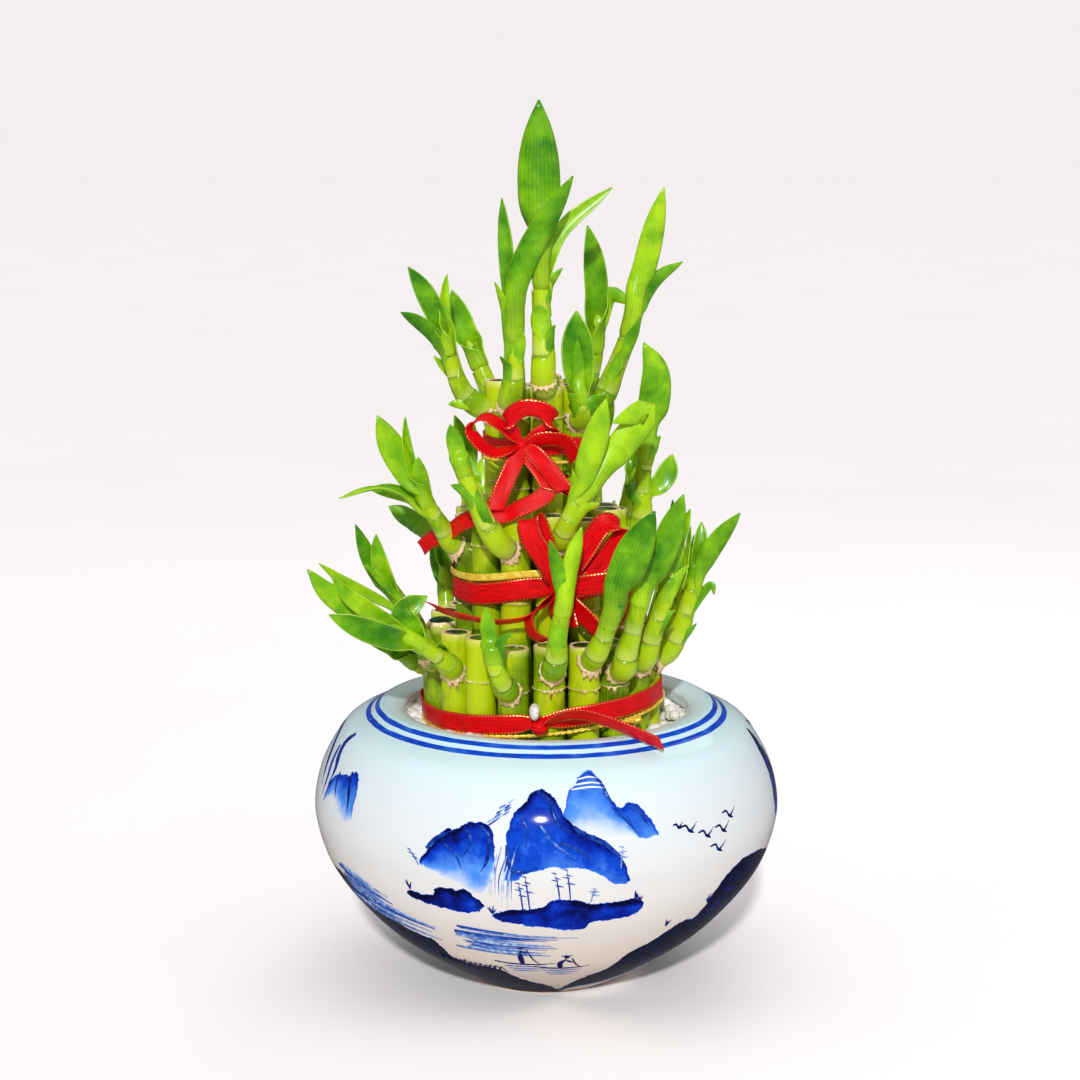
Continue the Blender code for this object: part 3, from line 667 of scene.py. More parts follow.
def wire(made: Material, relief: tuple = (), **sockets: NodeSocket) -> Material:
    """Ends a material by linking its patterns to its shader.

    Args:
        made: The material.
        relief: Where its surface has relief: the height, how strong it is, and its depth in millimetres.
        sockets: The node output for each of the shader's inputs, with _ for a space.

    Returns:
        The material.
    """
    tree = made.node_tree
    if relief:
        height, strength, depth_mm = relief
        inputs = {"Strength": strength, "Distance": depth_mm * MM, "Height": height}
        sockets["Normal"] = add(tree, BUMP, inputs)
    for key, output in sockets.items():
        tree.links.new(output, tree.nodes["Principled BSDF"].inputs[key.replace("_", " ")])
    return made


def per_mm(size: float) -> float:
    """The scale that gives a noise features about this many millimetres wide."""
    return 1 / (size * MM)


@dataclass(frozen=True)
class LivingGreen:
    """Plant skin: upright fibres, patches of three greens, and a soft waxy gloss.

    The fibres are as coarse as they need to be to show: real ones are about 0.2 mm apart.
    """

    name: str
    light: str
    middle: str
    dark: str
    roughness: float = 0.28
    fibre_mm: float = 0.7
    patch_mm: float = 16.0

    def build(self) -> Material:
        """Makes the material.

        Returns:
            The material.
        """
        made, tree = new_finish(self.name, Roughness=self.roughness, IOR=1.45, Specular_IOR_Level=0.3,
                                Coat_Weight=0.3, Coat_Roughness=0.12)
        place = add(tree, PLACE, out="Object")
        tone = add(tree, ATTRIBUTE, out="Fac", attribute_name="tone")
        long = add(tree, MAPPING, {"Vector": place, "Scale": (1, 1, 0.06)})
        fibre = add(tree, NOISE, {"Vector": long, "Scale": per_mm(self.fibre_mm), "Detail": 2.0})
        patch = add(tree, NOISE, {"Vector": place, "Scale": per_mm(self.patch_mm), "Detail": 3.0,
                                  "Roughness": 0.6})
        mixed = add(tree, "MULTIPLY_ADD", (fibre, 0.35, patch))
        mixed = add(tree, "MULTIPLY_ADD", (tone, 0.5, mixed))
        stops = ((0.45, self.dark), (0.78, self.middle), (1.0, self.light))
        colour = add(tree, RAMP, (mixed,), stops=stops)
        return wire(made, (fibre, 0.12, 0.3), Base_Color=self.shade(tree, colour))

    def shade(self, tree: NodeTree, colour: NodeSocket) -> NodeSocket:
        """The colour of the skin, with what this kind of skin adds to it."""
        return colour


@dataclass(frozen=True)
class CaneSkin(LivingGreen):
    """Skin of a cut cane, paler just under its cut: along is the distance below the cut in millimetres."""

    collar_mm: float = 3.5

    def shade(self, tree: NodeTree, colour: NodeSocket) -> NodeSocket:
        """Adds the pale collar under the cut.

        Args:
            tree: The material's node tree.
            colour: The colour so far.

        Returns:
            The colour with that.
        """
        below = add(tree, ATTRIBUTE, out="Fac", attribute_name="along")
        share = add(tree, RANGE, (below, 0.0, self.collar_mm, 0.7, 0.0))
        return add(tree, MIX, {0: share, 6: colour, 7: "#DCD873"}, out=2, data_type="RGBA")


@dataclass(frozen=True)
class ShootSkin(LivingGreen):
    """Skin of a side shoot: along runs from 0 at a sheath's foot to 1 at its rim."""

    def shade(self, tree: NodeTree, colour: NodeSocket) -> NodeSocket:
        """Adds the pale young skin at each sheath's foot, and a darker line along its rim that is painted
        shadow.

        Args:
            tree: The material's node tree.
            colour: The colour so far.

        Returns:
            The colour with that.
        """
        place = add(tree, ATTRIBUTE, out="Fac", attribute_name="along")
        pale = add(tree, RANGE, (place, 0.05, 0.45, 0.62, 0.0))
        colour = add(tree, MIX, {0: pale, 6: colour, 7: "#C6D668"}, out=2, data_type="RGBA")
        # Painted shadow: a darker line along each sheath's rim.
        rim = add(tree, RANGE, (place, 0.86, 1.0, 0.0, 0.7))
        return add(tree, MIX, {0: rim, 6: colour, 7: "#5B8A10"}, out=2, data_type="RGBA")


@dataclass(frozen=True)
class LeafBlade:
    """A leaf: parallel veins, a paler base and edge, and a waxy gloss on a finely ribbed skin.

    Across runs from -1 to 1 over the blade and along from 0 to 1. Real veins are about 0.4 mm
    apart; these are twice that, so that they show.
    """

    name: str
    light: str
    middle: str
    dark: str
    veins: float = 11.0

    def build(self) -> Material:
        """Makes the material.

        Returns:
            The material.
        """
        made, tree = new_finish(self.name, Roughness=0.32, IOR=1.45, Specular_IOR_Level=0.25,
                                Coat_Weight=0.5, Coat_Roughness=0.2)
        place = add(tree, PLACE, out="Object")
        tone = add(tree, ATTRIBUTE, out="Fac", attribute_name="tone")
        along = add(tree, ATTRIBUTE, out="Fac", attribute_name="along")
        across = add(tree, ATTRIBUTE, out="Fac", attribute_name="across")
        turned = add(tree, "MULTIPLY", (across, self.veins * math.pi))
        turned = add(tree, "MULTIPLY_ADD", (tone, 9.0, turned))
        vein = add(tree, "SINE", (turned,))
        patch = add(tree, NOISE, {"Vector": place, "Scale": per_mm(13), "Detail": 3.0, "Roughness": 0.6})
        mixed = add(tree, "MULTIPLY_ADD", (vein, 0.035, patch))
        mixed = add(tree, "MULTIPLY_ADD", (tone, 0.4, mixed))
        stops = ((0.4, self.dark), (0.68, self.middle), (0.98, self.light))
        colour = add(tree, RAMP, (mixed,), stops=stops)
        base = add(tree, RANGE, (along, 0.0, 0.4, 0.7, 0.0))
        colour = add(tree, MIX, {0: base, 6: colour, 7: "#A8C81E"}, out=2, data_type="RGBA")
        edge = add(tree, "ABSOLUTE", (across,))
        edge = add(tree, RANGE, (edge, 0.88, 1.0, 0.0, 0.5))
        colour = add(tree, MIX, {0: edge, 6: colour, 7: "#B2D63C"}, out=2, data_type="RGBA")
        return wire(made, (vein, 0.2, 0.2), Base_Color=colour)


@dataclass(frozen=True)
class DrySkin:
    """Dry, papery plant skin: torn leaf scars and the fibrous rim of a cut. It is matt and streaked."""

    name: str = "dry_papery_husk"
    light: str = "#F8E2B4"
    dark: str = "#935F30"

    def build(self) -> Material:
        """Makes the material.

        Returns:
            The material.
        """
        made, tree = new_finish(self.name, Roughness=0.75, IOR=1.4)
        place = add(tree, PLACE, out="Object")
        along = add(tree, ATTRIBUTE, out="Fac", attribute_name="along")
        fine = add(tree, NOISE, {"Vector": place, "Scale": per_mm(1.1), "Detail": 4.0, "Roughness": 0.7})
        mixed = add(tree, "MULTIPLY_ADD", (along, 0.12, fine))
        stops = ((0.4, self.light), (0.6, "#DDB98C"), (0.78, self.dark))
        colour = add(tree, RAMP, (mixed,), stops=stops)
        return wire(made, (fine, 0.5, 0.3), Base_Color=colour)


@dataclass(frozen=True)
class SealWax:
    """Dark green sealing wax on a cut cane: poured, smooth and very glossy."""

    name: str = "green_sealing_wax"

    def build(self) -> Material:
        """Makes the material.

        Returns:
            The material.
        """
        made, tree = new_finish(self.name, Roughness=0.12, IOR=1.46, Coat_Weight=0.6)
        place = add(tree, PLACE, out="Object")
        cloud = add(tree, NOISE, {"Vector": place, "Scale": per_mm(5), "Detail": 2.0})
        colour = add(tree, RAMP, (cloud,), stops=((0.35, "#03190D"), (0.7, "#0A4B24")))
        return wire(made, Base_Color=colour)


@dataclass(frozen=True)
class RiverPebble:
    """White tumbled marble pebbles: satin skin, faint grey clouds and a few warm stones."""

    name: str = "tumbled_white_marble"

    def build(self) -> Material:
        """Makes the material.

        Returns:
            The material.
        """
        made, tree = new_finish(self.name, Roughness=0.38, IOR=1.5)
        place = add(tree, PLACE, out="Object")
        tone = add(tree, ATTRIBUTE, out="Fac", attribute_name="tone")
        cloud = add(tree, NOISE, {"Vector": place, "Scale": per_mm(3.5), "Detail": 5.0, "Roughness": 0.65})
        mixed = add(tree, "MULTIPLY_ADD", (tone, 0.3, cloud))
        colour = add(tree, RAMP, (mixed,), stops=((0.35, "#B9B6AD"), (0.6, "#E8E5DD"), (0.85, "#F7F4EE")))
        return wire(made, (cloud, 0.25, 0.3), Base_Color=colour)


@dataclass(frozen=True)
class SatinRibbon:
    """Woven satin ribbon: long shining floats, and a metallic gold thread sewn along both edges.

    Across runs from -1 to 1 over the width, and along is in millimetres. The weft is as coarse as
    it needs to be to show: real threads are about 0.1 mm apart.
    """

    name: str = "red_satin_ribbon"
    red: str = "#F2000A"
    shade: str = "#A00008"
    gold: str = "#F0C07A"
    weft_mm: float = 0.35
    stitch_mm: float = 1.5

    def build(self) -> Material:
        """Makes the material.

        Returns:
            The material.
        """
        made, tree = new_finish(self.name, IOR=1.45, Specular_IOR_Level=0.2)
        along = add(tree, ATTRIBUTE, out="Fac", attribute_name="along")
        across = add(tree, ATTRIBUTE, out="Fac", attribute_name="across")
        spot = add(tree, "ShaderNodeCombineXYZ", {0: along, 1: across})
        long = add(tree, MAPPING, {"Vector": spot, "Scale": (0.12, 14, 1)})
        warp = add(tree, NOISE, {"Vector": long, "Scale": 1.0, "Detail": 2.0})
        weft = add(tree, "MULTIPLY", (along, math.tau / self.weft_mm))
        weft = add(tree, "SINE", (weft,))
        colour = add(tree, RAMP, (warp,), stops=((0.3, self.shade), (0.65, self.red)))
        side = add(tree, "ABSOLUTE", (across,))
        row = add(tree, "GREATER_THAN", (side, 0.82))
        out = add(tree, "LESS_THAN", (side, 0.97))
        row = add(tree, "MULTIPLY", (row, out))
        beat = add(tree, "MULTIPLY", (along, math.tau / self.stitch_mm))
        beat = add(tree, "SINE", (beat,))
        beat = add(tree, "GREATER_THAN", (beat, -0.25))
        stitch = add(tree, "MULTIPLY", (row, beat))
        colour = add(tree, MIX, {0: stitch, 6: colour, 7: self.gold}, out=2, data_type="RGBA")
        rough = add(tree, RANGE, (warp, 0.0, 1.0, 0.28, 0.5))
        weave = add(tree, "MULTIPLY_ADD", (weft, 0.3, warp))
        weave = add(tree, "MULTIPLY_ADD", (stitch, 2.0, weave))
        return wire(made, (weave, 0.25, 0.15), Base_Color=colour, Metallic=stitch, Roughness=rough)


@dataclass(frozen=True)
class GoldFoil:
    """Lacquered gold-coloured foil: rolled thin and creased by hand, bright yellow and uneven in gloss."""

    name: str = "creased_gold_foil"

    def build(self) -> Material:
        """Makes the material.

        Returns:
            The material.
        """
        made, tree = new_finish(self.name, Metallic=0.25)
        place = add(tree, PLACE, out="Object")
        crease = add(tree, NOISE, {"Vector": place, "Scale": per_mm(2.2), "Detail": 3.0})
        colour = add(tree, RAMP, (crease,), stops=((0.3, "#F0B414"), (0.6, "#FFE95E")))
        rough = add(tree, RANGE, (crease, 0.0, 1.0, 0.2, 0.45))
        return wire(made, (crease, 0.35, 0.4), Base_Color=colour, Roughness=rough)


class Skin(Enum):
    """The finishes of a cane's mesh, in the order of its material slots."""

    CANE = 0
    SHOOT = 1
    LEAF = 2
    HUSK = 3
    WAX = 4


@dataclass
class BladeForm:
    """One leaf's shape: its base wraps the stem and opens into a blade with a soft channel.

    Attributes:
        rib: Points of its middle line, from the stem's axis to the tip.
        inward: The way from its base to the stem's axis.
        looks: The way the open blade faces.
        half_width: Half the blade's greatest width.
        clasp: Radius of the stem that its base wraps.
        stem: The way the stem runs there.
        rest: Length of the stem past its base.
        tube: Whether its base is rolled right round the stem's end.
        wrap: Half the angle that the base wraps, in radians.
        opens: Share of its length where it starts to open.
        fold: Half the angle that the open blade is bent through, in radians.
        wave: How much its edges ripple.
    """

    rib: list
    inward: Vector
    looks: Vector
    half_width: float
    clasp: float
    stem: Vector
    rest: float
    tube: bool = False
    wrap: float = 2.0
    opens: float = 0.02
    fold: float = 0.62
    wave: float = 0.05
    thickness: float = 0.45 * MM
    columns: int = 10
    rows: int = 24

    def width_share(self, share: float) -> float:
        """The blade's width at a share of its length: narrow where it clasps, broad past the middle.

        Args:
            share: How far along the blade, from 0 to 1.

        Returns:
            The width there, as a share of the greatest.
        """
        if share < BROADEST:
            return 0.45 + 0.55 * math.sin(share / BROADEST * math.pi / 2)
        return max(1 - ((share - BROADEST) / 0.44) ** 2.3, 0.02)

    def hug(self, away: Vector) -> float:
        """How much a point of the rib must stand off to lie on the stem and not inside it.

        Args:
            away: The point, counted from the rib's first one.

        Returns:
            How much of the stem's radius it stands off.
        """
        up = away.dot(self.stem)
        clear = (away - self.stem * up).length / (1.15 * self.clasp)
        return max(0.0, 1 - clear) * (1 - ease(self.rest * 0.8, self.rest * 1.1, up))

    def build(self, clay: Clay, tone: float) -> None:
        """Adds the blade to a mesh.

        Args:
            clay: The mesh to add to.
            tone: The leaf's own random number.
        """
        rib = [point_on(self.rib, i / self.rows)[0] for i in range(self.rows + 1)]
        looks = -self.looks if self.looks.dot(self.inward) < -0.1 else self.looks
        hug = [self.hug(spot - rib[0]) for spot in rib]

        def place(u: float, v: float) -> Spot:
            """A point of the blade.

            Args:
                u: Across, from -1 to 1.
                v: Along, from 0 to 1.

            Returns:
                The point, along and across.
            """
            i = min(int(round(v * self.rows)), self.rows)
            run = run_at(rib, i)
            opened = ease(self.opens, self.opens + 0.38, v)
            side = run.cross(self.inward.lerp(looks, opened)).normalized()
            over = side.cross(run)
            round_stem = self.clasp * (0.9 + 0.23 * ease(0.0, 0.05, v)) * (1.14 if self.tube else 1)
            blade = self.half_width * self.width_share(v)
            grip = round_stem * self.wrap if self.tube else min(blade, round_stem * self.wrap)
            half = grip * (1 - opened) + blade * opened
            angle = self.wrap * (1 - opened) + self.fold * opened
            bend = half / angle
            ripple = self.wave * half * math.sin(v * 9 + tone * 20) * u * abs(u) * opened
            out = bend * (1 - math.cos(u * angle)) - round_stem * max(1 - opened, hug[i]) + ripple
            return rib[i] + side * (bend * math.sin(u * angle)) + over * out, v, u

        clay.sheet(self.columns, self.rows, place, Skin.LEAF.value, tone, self.thickness)


@dataclass
class Cane:
    """One cut cane with its node rings, its dry scars, and the shoot that grew from it."""

    name: str
    tier: Tier
    heading: float
    top: float
    shoot: Optional[Shoot]
    rng: random.Random
    domed: bool = False
    sides: int = 26
    stem_sides: int = 18
    rounding: float = 0.6 * MM
    dome: float = 3.4 * MM

    @property
    def axis(self) -> Vector:
        """The foot of the cane's own axis."""
        return Vector((self.tier.shift, 0, 0)) + heading_vector(self.heading) * self.tier.ring_radius

    def profile(self) -> list[tuple[float, float]]:
        """The cane's outline from its foot up to its rounded cut, swelling at each node ring.

        Returns:
            The outline as (radius, height).
        """
        radius, foot, edge = self.tier.cane_radius, self.tier.foot, self.top - self.rounding
        rings = [self.top - drop * MM for drop in self.tier.node_rings]
        heights = {foot, edge}
        heights.update(foot + (self.top - foot) * i / 24 for i in range(1, 24))
        for ring in rings:
            heights.update(ring + step * MM for step in (-4, -2.2, -1.2, -0.5, 0, 0.4, 1, 2, 3.5))
        outline = []
        for height in sorted(height for height in heights if height <= edge):
            swell = 0.0
            for ring in rings:
                away = (height - ring) / MM
                swell += 0.32 * math.exp(-(away / 1.6) ** 2) - 0.5 * math.exp(-((away + 1.3) / 0.5) ** 2)
            outline.append((radius - 0.12 * MM + swell * MM, height))
        if self.domed:
            cap = [(radius * math.cos(turn) - 0.4 * MM, self.top + self.dome * math.sin(turn))
                   for turn in (0, 0.25, 0.5, 0.75, 1.0, 1.25)]
            cap.append((0, self.top + self.dome))
        else:
            cap = [(radius - 0.35 * MM, self.top - 0.15 * MM), (radius - 0.8 * MM, self.top),
                   (radius - 1.9 * MM, self.top - 0.25 * MM), (0, self.top - 0.9 * MM)]
        return [(0, foot), *outline, *cap]

    def build_body(self, clay: Clay) -> None:
        """Adds the cane itself, a little out of round, with its dry rim and its sealed cut.

        Args:
            clay: The mesh to add to.
        """
        tone = self.rng.random()
        verts = clay.turned(self.profile(), self.axis, self.sides, Skin.CANE.value, tone)
        wide = self.rng.uniform(0, math.tau)
        rim = self.tier.cane_radius - 1.3 * MM
        for vert in verts:
            out = vert.co - self.axis
            turn = math.atan2(out.y, out.x)
            if out.to_2d().length > rim and vert.co.z > self.top - 0.3 * MM:
                vert.co.z += 0.4 * MM * noise.noise(Vector((math.cos(turn), math.sin(turn), wide)) * 4)
            vert[clay.along] = (self.top - vert.co.z) / MM
            stretch = 1 + 0.012 * math.cos(2 * (turn - wide))
            vert.co.x, vert.co.y = self.axis.x + out.x * stretch, self.axis.y + out.y * stretch
        for face in {face for vert in verts for face in vert.link_faces}:
            middle = face.calc_center_median()
            inwards = self.tier.cane_radius - (middle - self.axis).to_2d().length
            if middle.z > self.top - 1.0 * MM and inwards > 0.5 * MM:
                face.material_index = (Skin.HUSK if inwards < 1.7 * MM else Skin.WAX).value

    def build_husks(self, clay: Clay) -> None:
        """Adds the scar at each node ring: a thin dry line, torn to hanging shards under a shoot.

        Args:
            clay: The mesh to add to.
        """
        side = self.shoot_heading()
        for number, drop in enumerate(self.tier.node_rings):
            ring = self.top - drop * MM
            teeth = [self.rng.random() ** 2 for _ in range(17)]
            bare = self.shoot is None or number > 0
            starts = self.rng.random()

            def place(u: float, v: float) -> Spot:
                """A point of the skirt, whose hem hangs in shards.

                Args:
                    u: How far round, from -1 to 1.
                    v: Along, from 0 to 1.

                Returns:
                    The point, along and across.
                """
                spot = ((u + 1) / 2 + starts) * len(teeth)
                tooth = shard(teeth, spot, 1.3)
                near = math.exp(-((u * 180 - side + 180) % 360 - 180) ** 2 / 2600)
                hem = 0.35 + tooth * (0.9 if bare else 1.0 + 4.0 * near)
                radius = self.tier.cane_radius + (0.12 + 0.5 * v * (1 - v) + 0.28 * v * hem) * MM
                out = heading_vector(u * 180)
                return self.axis + out * radius + UP * (ring + (0.35 - v * hem) * MM), v * hem, u

            clay.sheet(102, 3, place, Skin.HUSK.value, self.rng.random(), 0.12 * MM, closed=True)

    def shoot_heading(self) -> float:
        """The heading that the shoot leaves the cane at, in degrees.

        Returns:
            The heading.
        """
        if self.shoot is None:
            return self.heading
        first = Vector(self.shoot.stem[0])
        return math.degrees(math.atan2(first.x, -first.y))

    def stem_corners(self) -> list[Vector]:
        """The corners of the shoot's centre line, the first of them on the cane's own axis."""
        foot = self.axis + UP * (self.tier.top - self.shoot.drop * MM)
        return [foot, *(foot + mm(point) for point in self.shoot.stem)]

    def stem_path(self) -> tuple[list[Vector], list[float]]:
        """The shoot's centre line and its radius at each point, thickest a third of the way up.

        Returns:
            The points, and the radius at each.
        """
        path = smooth_path(self.stem_corners(), 12)
        near, far = STEM_RADII_MM
        radii = []
        for i in range(len(path)):
            share = i / (len(path) - 1)
            knob = 1 + 0.16 * math.exp(-((share - 0.3) / 0.17) ** 2)
            radii.append((near + (far - near) * share) * knob * MM)
        return path, radii

    def build_stem(self, clay: Clay) -> None:
        """Adds the shoot's stem, fat at its foot and rolled to a point at its end, in its sheaths.

        Args:
            clay: The mesh to add to.
        """
        path, radii = self.stem_path()
        end = (path[-1] - path[-2]).normalized()
        path = [*path, path[-1] + end * 2 * MM]
        radii = [*radii, radii[-1] * 0.5]
        length = path_length(path)
        tone = 0.35 + 0.6 * self.rng.random()
        plane = heading_vector(self.rng.uniform(-30, 30))

        def skin(away: float, angle: float, wider: float) -> tuple[Vector, Vector]:
            """A point round the stem at a distance along it, and the way out there.

            Args:
                away: How far along the stem.
                angle: How far round it, in radians.
                wider: How far out of its skin.

            Returns:
                The point and the way out.
            """
            share = min(max(away / length, 0.0), 1.0)
            spot, run = point_on(path, share)
            at = share * (len(radii) - 1)
            low = min(int(at), len(radii) - 2)
            radius = radii[low] + (radii[low + 1] - radii[low]) * (at - low)
            ring = round_run(run, run.cross(plane).normalized(), angle)
            left = max(length - away, 0.0) / MM
            return spot + ring * (radius * min(1.0, (left / 6) ** 0.6) + wider), ring

        rows = max(int(length / (1.5 * MM)), 12)

        def core(u: float, v: float) -> Spot:
            """A point of the stem itself."""
            return skin(v * length, u * math.pi, 0.0)[0], 0.3, u

        clay.sheet(self.stem_sides, rows, core, Skin.SHOOT.value, tone, closed=True)
        start, turn = self.rng.uniform(5.0, 7.5) * MM, self.rng.choice((0, 1))
        pitch = min(max(length * 0.24, 8.5 * MM), 20 * MM)
        while start < length - 12 * MM:
            tall = pitch * self.rng.uniform(0.8, 1.15)
            tip = min(tall * self.rng.uniform(0.45, 0.75), 11 * MM)
            lift = self.rng.uniform(0.2, 0.9) * MM
            towards = turn % 2 * 2.4 + 0.35 + self.rng.uniform(-0.5, 0.5)

            def sheath(u: float, v: float) -> Spot:
                """A point of one sheath, whose rim runs up to a pointed tip on one side.

                Args:
                    u: How far round, from -1 to 1.
                    v: Along, from 0 to 1.

                Returns:
                    The point, along and across.
                """
                angle = u * math.pi
                facing = max(0.0, math.cos(angle - towards))
                wider = (0.05 + 0.2 * min(1.0, v * 3)) * MM + lift * v ** 3 * facing ** 8
                away = min(start + v * (tall + tip * facing ** 2.5 + 3.5 * MM * facing), length - 5 * MM)
                return skin(away, angle, wider)[0], v, u

            shade = tone + self.rng.uniform(-0.25, 0.25)
            clay.sheet(self.stem_sides, 9, sheath, Skin.SHOOT.value, shade, 0.22 * MM, closed=True)
            start += tall * self.rng.uniform(0.85, 1.05)
            turn += 1

    def build_collar(self, clay: Clay) -> None:
        """Adds the torn husk that the shoot broke through, round its foot.

        Args:
            clay: The mesh to add to.
        """
        path, radii = self.stem_path()
        reach = self.tier.cane_radius + 0.2 * MM
        share = next((i for i, spot in enumerate(path) if (spot - path[0]).to_2d().length > reach),
                     len(path) // 3) / (len(path) - 1)
        spot, run = point_on(path, max(share - 0.03, 0.05))
        radius = radii[int(share * (len(radii) - 1))]
        side = run.cross(UP if abs(run.z) < 0.9 else Vector((1, 0, 0))).normalized()
        teeth = [self.rng.random() for _ in range(13)]

        def place(u: float, v: float) -> Spot:
            """A point of the collar, whose rim is torn in shards that point back and down.

            Args:
                u: How far round, from -1 to 1.
                v: Along, from 0 to 1.

            Returns:
                The point, along and across.
            """
            tooth = 0.25 + shard(teeth, (u + 1) / 2 * len(teeth), 1.2)
            ring = round_run(run, side, u * math.pi)
            under = max(0.0, -ring.z)
            out = radius * 0.97 + (0.15 + 0.5 * v + 1.1 * v * tooth) * MM
            back = run * ((1.6 - 1.2 * v - (0.8 + 1.6 * under) * v * tooth) * MM)
            return spot + ring * out + back - UP * (2.6 * under * v * v * tooth * MM), v * tooth, u

        clay.sheet(91, 4, place, Skin.HUSK.value, self.rng.random(), 0.14 * MM, closed=True)

    def build_leaves(self, clay: Clay) -> None:
        """Adds the shoot's blades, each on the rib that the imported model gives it.

        Args:
            clay: The mesh to add to.
        """
        stem = self.stem_corners()
        near, far = STEM_RADII_MM
        last = max(self.shoot.leaves, key=lambda leaf: (leaf.at, leaf.width))
        long = path_length(stem)
        for leaf in self.shoot.leaves:
            origin, along = point_on(stem, leaf.at)
            covers = leaf is last
            base = leaf.at * (0.82 if covers else 0.93)
            start = point_on(stem, base)[0]
            radius = (near + (far - near) * leaf.at) * MM
            reach = mm(leaf.reach)
            tip = origin + reach
            inward = -(reach - along * reach.dot(along)).normalized()
            if covers:
                inward = (inward * 0.5 - heading_vector(self.shoot_heading())).normalized()
            if leaf.via:
                rib = smooth_path([start, *(origin + mm(point) for point in leaf.via), tip], 10)
            else:
                bend = origin + along * reach.length * 0.4 + reach * 0.1
                rib = [start.lerp(bend, i / 20).lerp(bend.lerp(tip, i / 20), i / 20) for i in range(21)]
            looks = UP if leaf.face is None else heading_vector(leaf.face)
            blade = BladeForm(rib, inward, looks, leaf.width / 2 * MM, radius, along, (1 - base) * long)
            if covers:
                blade.tube, blade.wrap, blade.opens = True, 2.9, 0.12
            blade.build(clay, self.rng.random())

    def build(self, finishes: Sequence[Material]) -> Object:
        """Builds the cane with all that grows on it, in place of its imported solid.

        Args:
            finishes: The five finishes, in the order of Skin.

        Returns:
            The object.
        """
        clay = Clay()
        self.build_body(clay)
        self.build_husks(clay)
        if self.shoot:
            self.build_stem(clay)
            self.build_collar(clay)
            self.build_leaves(clay)
        made = clay.piece(self.name.replace("cane", "bamboo"), finishes)
        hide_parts(self.name)
        return made


@dataclass
class Grove:
    """Every cane of the tower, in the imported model's order and from its seed."""

    seed: int = SEED

    def grown_shoot(self, tier_name: str, heading: float, lean_heading: float, height: float,
                    rng: random.Random) -> Shoot:
        """A shoot by rule: its stem leaves the cane and leans over, and its blades spread from it.

        Args:
            tier_name: The cane's tier.
            heading: The cane's heading.
            lean_heading: The heading that the shoot leans to.
            height: Its stem's height in millimetres.
            rng: The random numbers to draw from.

        Returns:
            The shoot.
        """
        out = heading_vector(heading)
        lean = heading_vector(lean_heading)
        across = UP.cross(lean)
        stem = []
        for share in (0, 0.5, 1):
            rise = Vector((0, 0, 2 + height * share))
            stem.append(tuple(out * 10 * (1 - share / 2) + lean * (3 + 0.4 * height) * share + rise))
        leaves = []
        for i, at in enumerate((0.5, 0.75, 0.9, 1.0)):
            length = rng.uniform(16, 22) + 14 * at
            spread = rng.uniform(0.05, 0.2) * (1 if i % 2 else -1)
            outward = rng.uniform(0.3, 0.6) * (1.3 - at)
            reach = (lean * outward + across * spread + Vector((0, 0, 0.85))).normalized() * length
            leaves.append(Leaf(at, tuple(reach), rng.uniform(4, 6) + 4 * at, face=lean_heading + 180))
        drop = rng.uniform(13, 18) if tier_name == "outer" else 15
        return Shoot(drop, tuple(stem), tuple(leaves))

    def build(self, finishes: Sequence[Material]) -> list[Object]:
        """Builds all the canes.

        Args:
            finishes: The five finishes, in the order of Skin.

        Returns:
            The canes.
        """
        rng = random.Random(self.seed)
        looks = random.Random(LOOK_SEED)
        made = []
        for tier_name, tier in TIERS.items():
            for index in range(tier.count):
                heading = tier.turn + index * 360 / tier.count
                shoot = SHOOTS.get((tier_name, index))
                if (tier_name, index) in GROWN:
                    shoot = self.grown_shoot(tier_name, heading, *GROWN[tier_name, index], rng)
                top = tier.top + rng.uniform(-1, 1) * HEIGHT_SPREAD_MM * MM
                name = f"cane_{tier_name}_{index + 1:02d}" if tier.count > 1 else "cane_centre"
                made.append(Cane(name, tier, heading, top, shoot, looks, name == DOMED_CANE).build(finishes))
        return made


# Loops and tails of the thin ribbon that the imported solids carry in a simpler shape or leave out,
# by tier and by place in the tier's bow.
LOOSE_STRIPS = {
    ("middle", 0): Strip((
        (2, -47.5, 198), (-6, -51, 211), (-8, -51, 218.5), (-5, -48, 219.5), (0, -45.5, 205),
    ), (0.9, -0.1, 0.4), True),
    ("middle", 5): Strip((
        (-1, -46, 183), (-8, -50, 177), (-22, -47, 174), (-38, -38, 175), (-51, -26, 177),
    ), (0, -0.92, 0.4)),
    ("middle", 6): Strip((
        (0.6, -47, 182), (-7, -51, 178), (-6, -52.5, 170.5), (0.6, -52, 168), (4, -50, 176), (2.3, -47, 182),
    ), (0.35, -0.85, 0.4), True),
    ("middle", 7): Strip((
        (12, -45, 190), (25, -44.5, 194), (34.5, -42.5, 193.5), (37.5, -42, 187), (35, -42.5, 178),
        (30, -43.5, 169),
    ), (0.35, 0.9, 0.3)),
    ("middle", 8): Strip((
        (14, -49, 189), (23, -51.5, 192), (31, -48, 195), (28, -43.5, 194), (15, -43.5, 191),
    ), (-0.1, -0.25, 1), True),
    ("inner", 5): Strip((
        (-6, -31.5, 243), (-1, -34, 236), (0.6, -36.5, 231), (-4, -39, 227), (-12, -40, 223.5),
        (-18, -38, 220.5), (-26, -36, 219.5), (-36, -28, 216), (-44, -17, 209), (-52, -8, 204),
        (-57, -2, 199),
    ), (-0.2, 0.45, 0.85)),
    ("outer", 0): Strip((
        (6, -62, 136), (16, -64.5, 137.5), (28, -68, 134.5), (40, -72, 130.5), (49, -75, 127.6),
    ), (0.22, -0.7, 0.62)),
}
# How far a tier's band and its tie have slipped down at the left.
BAND_SLIP = {"middle": 4.8 * MM}


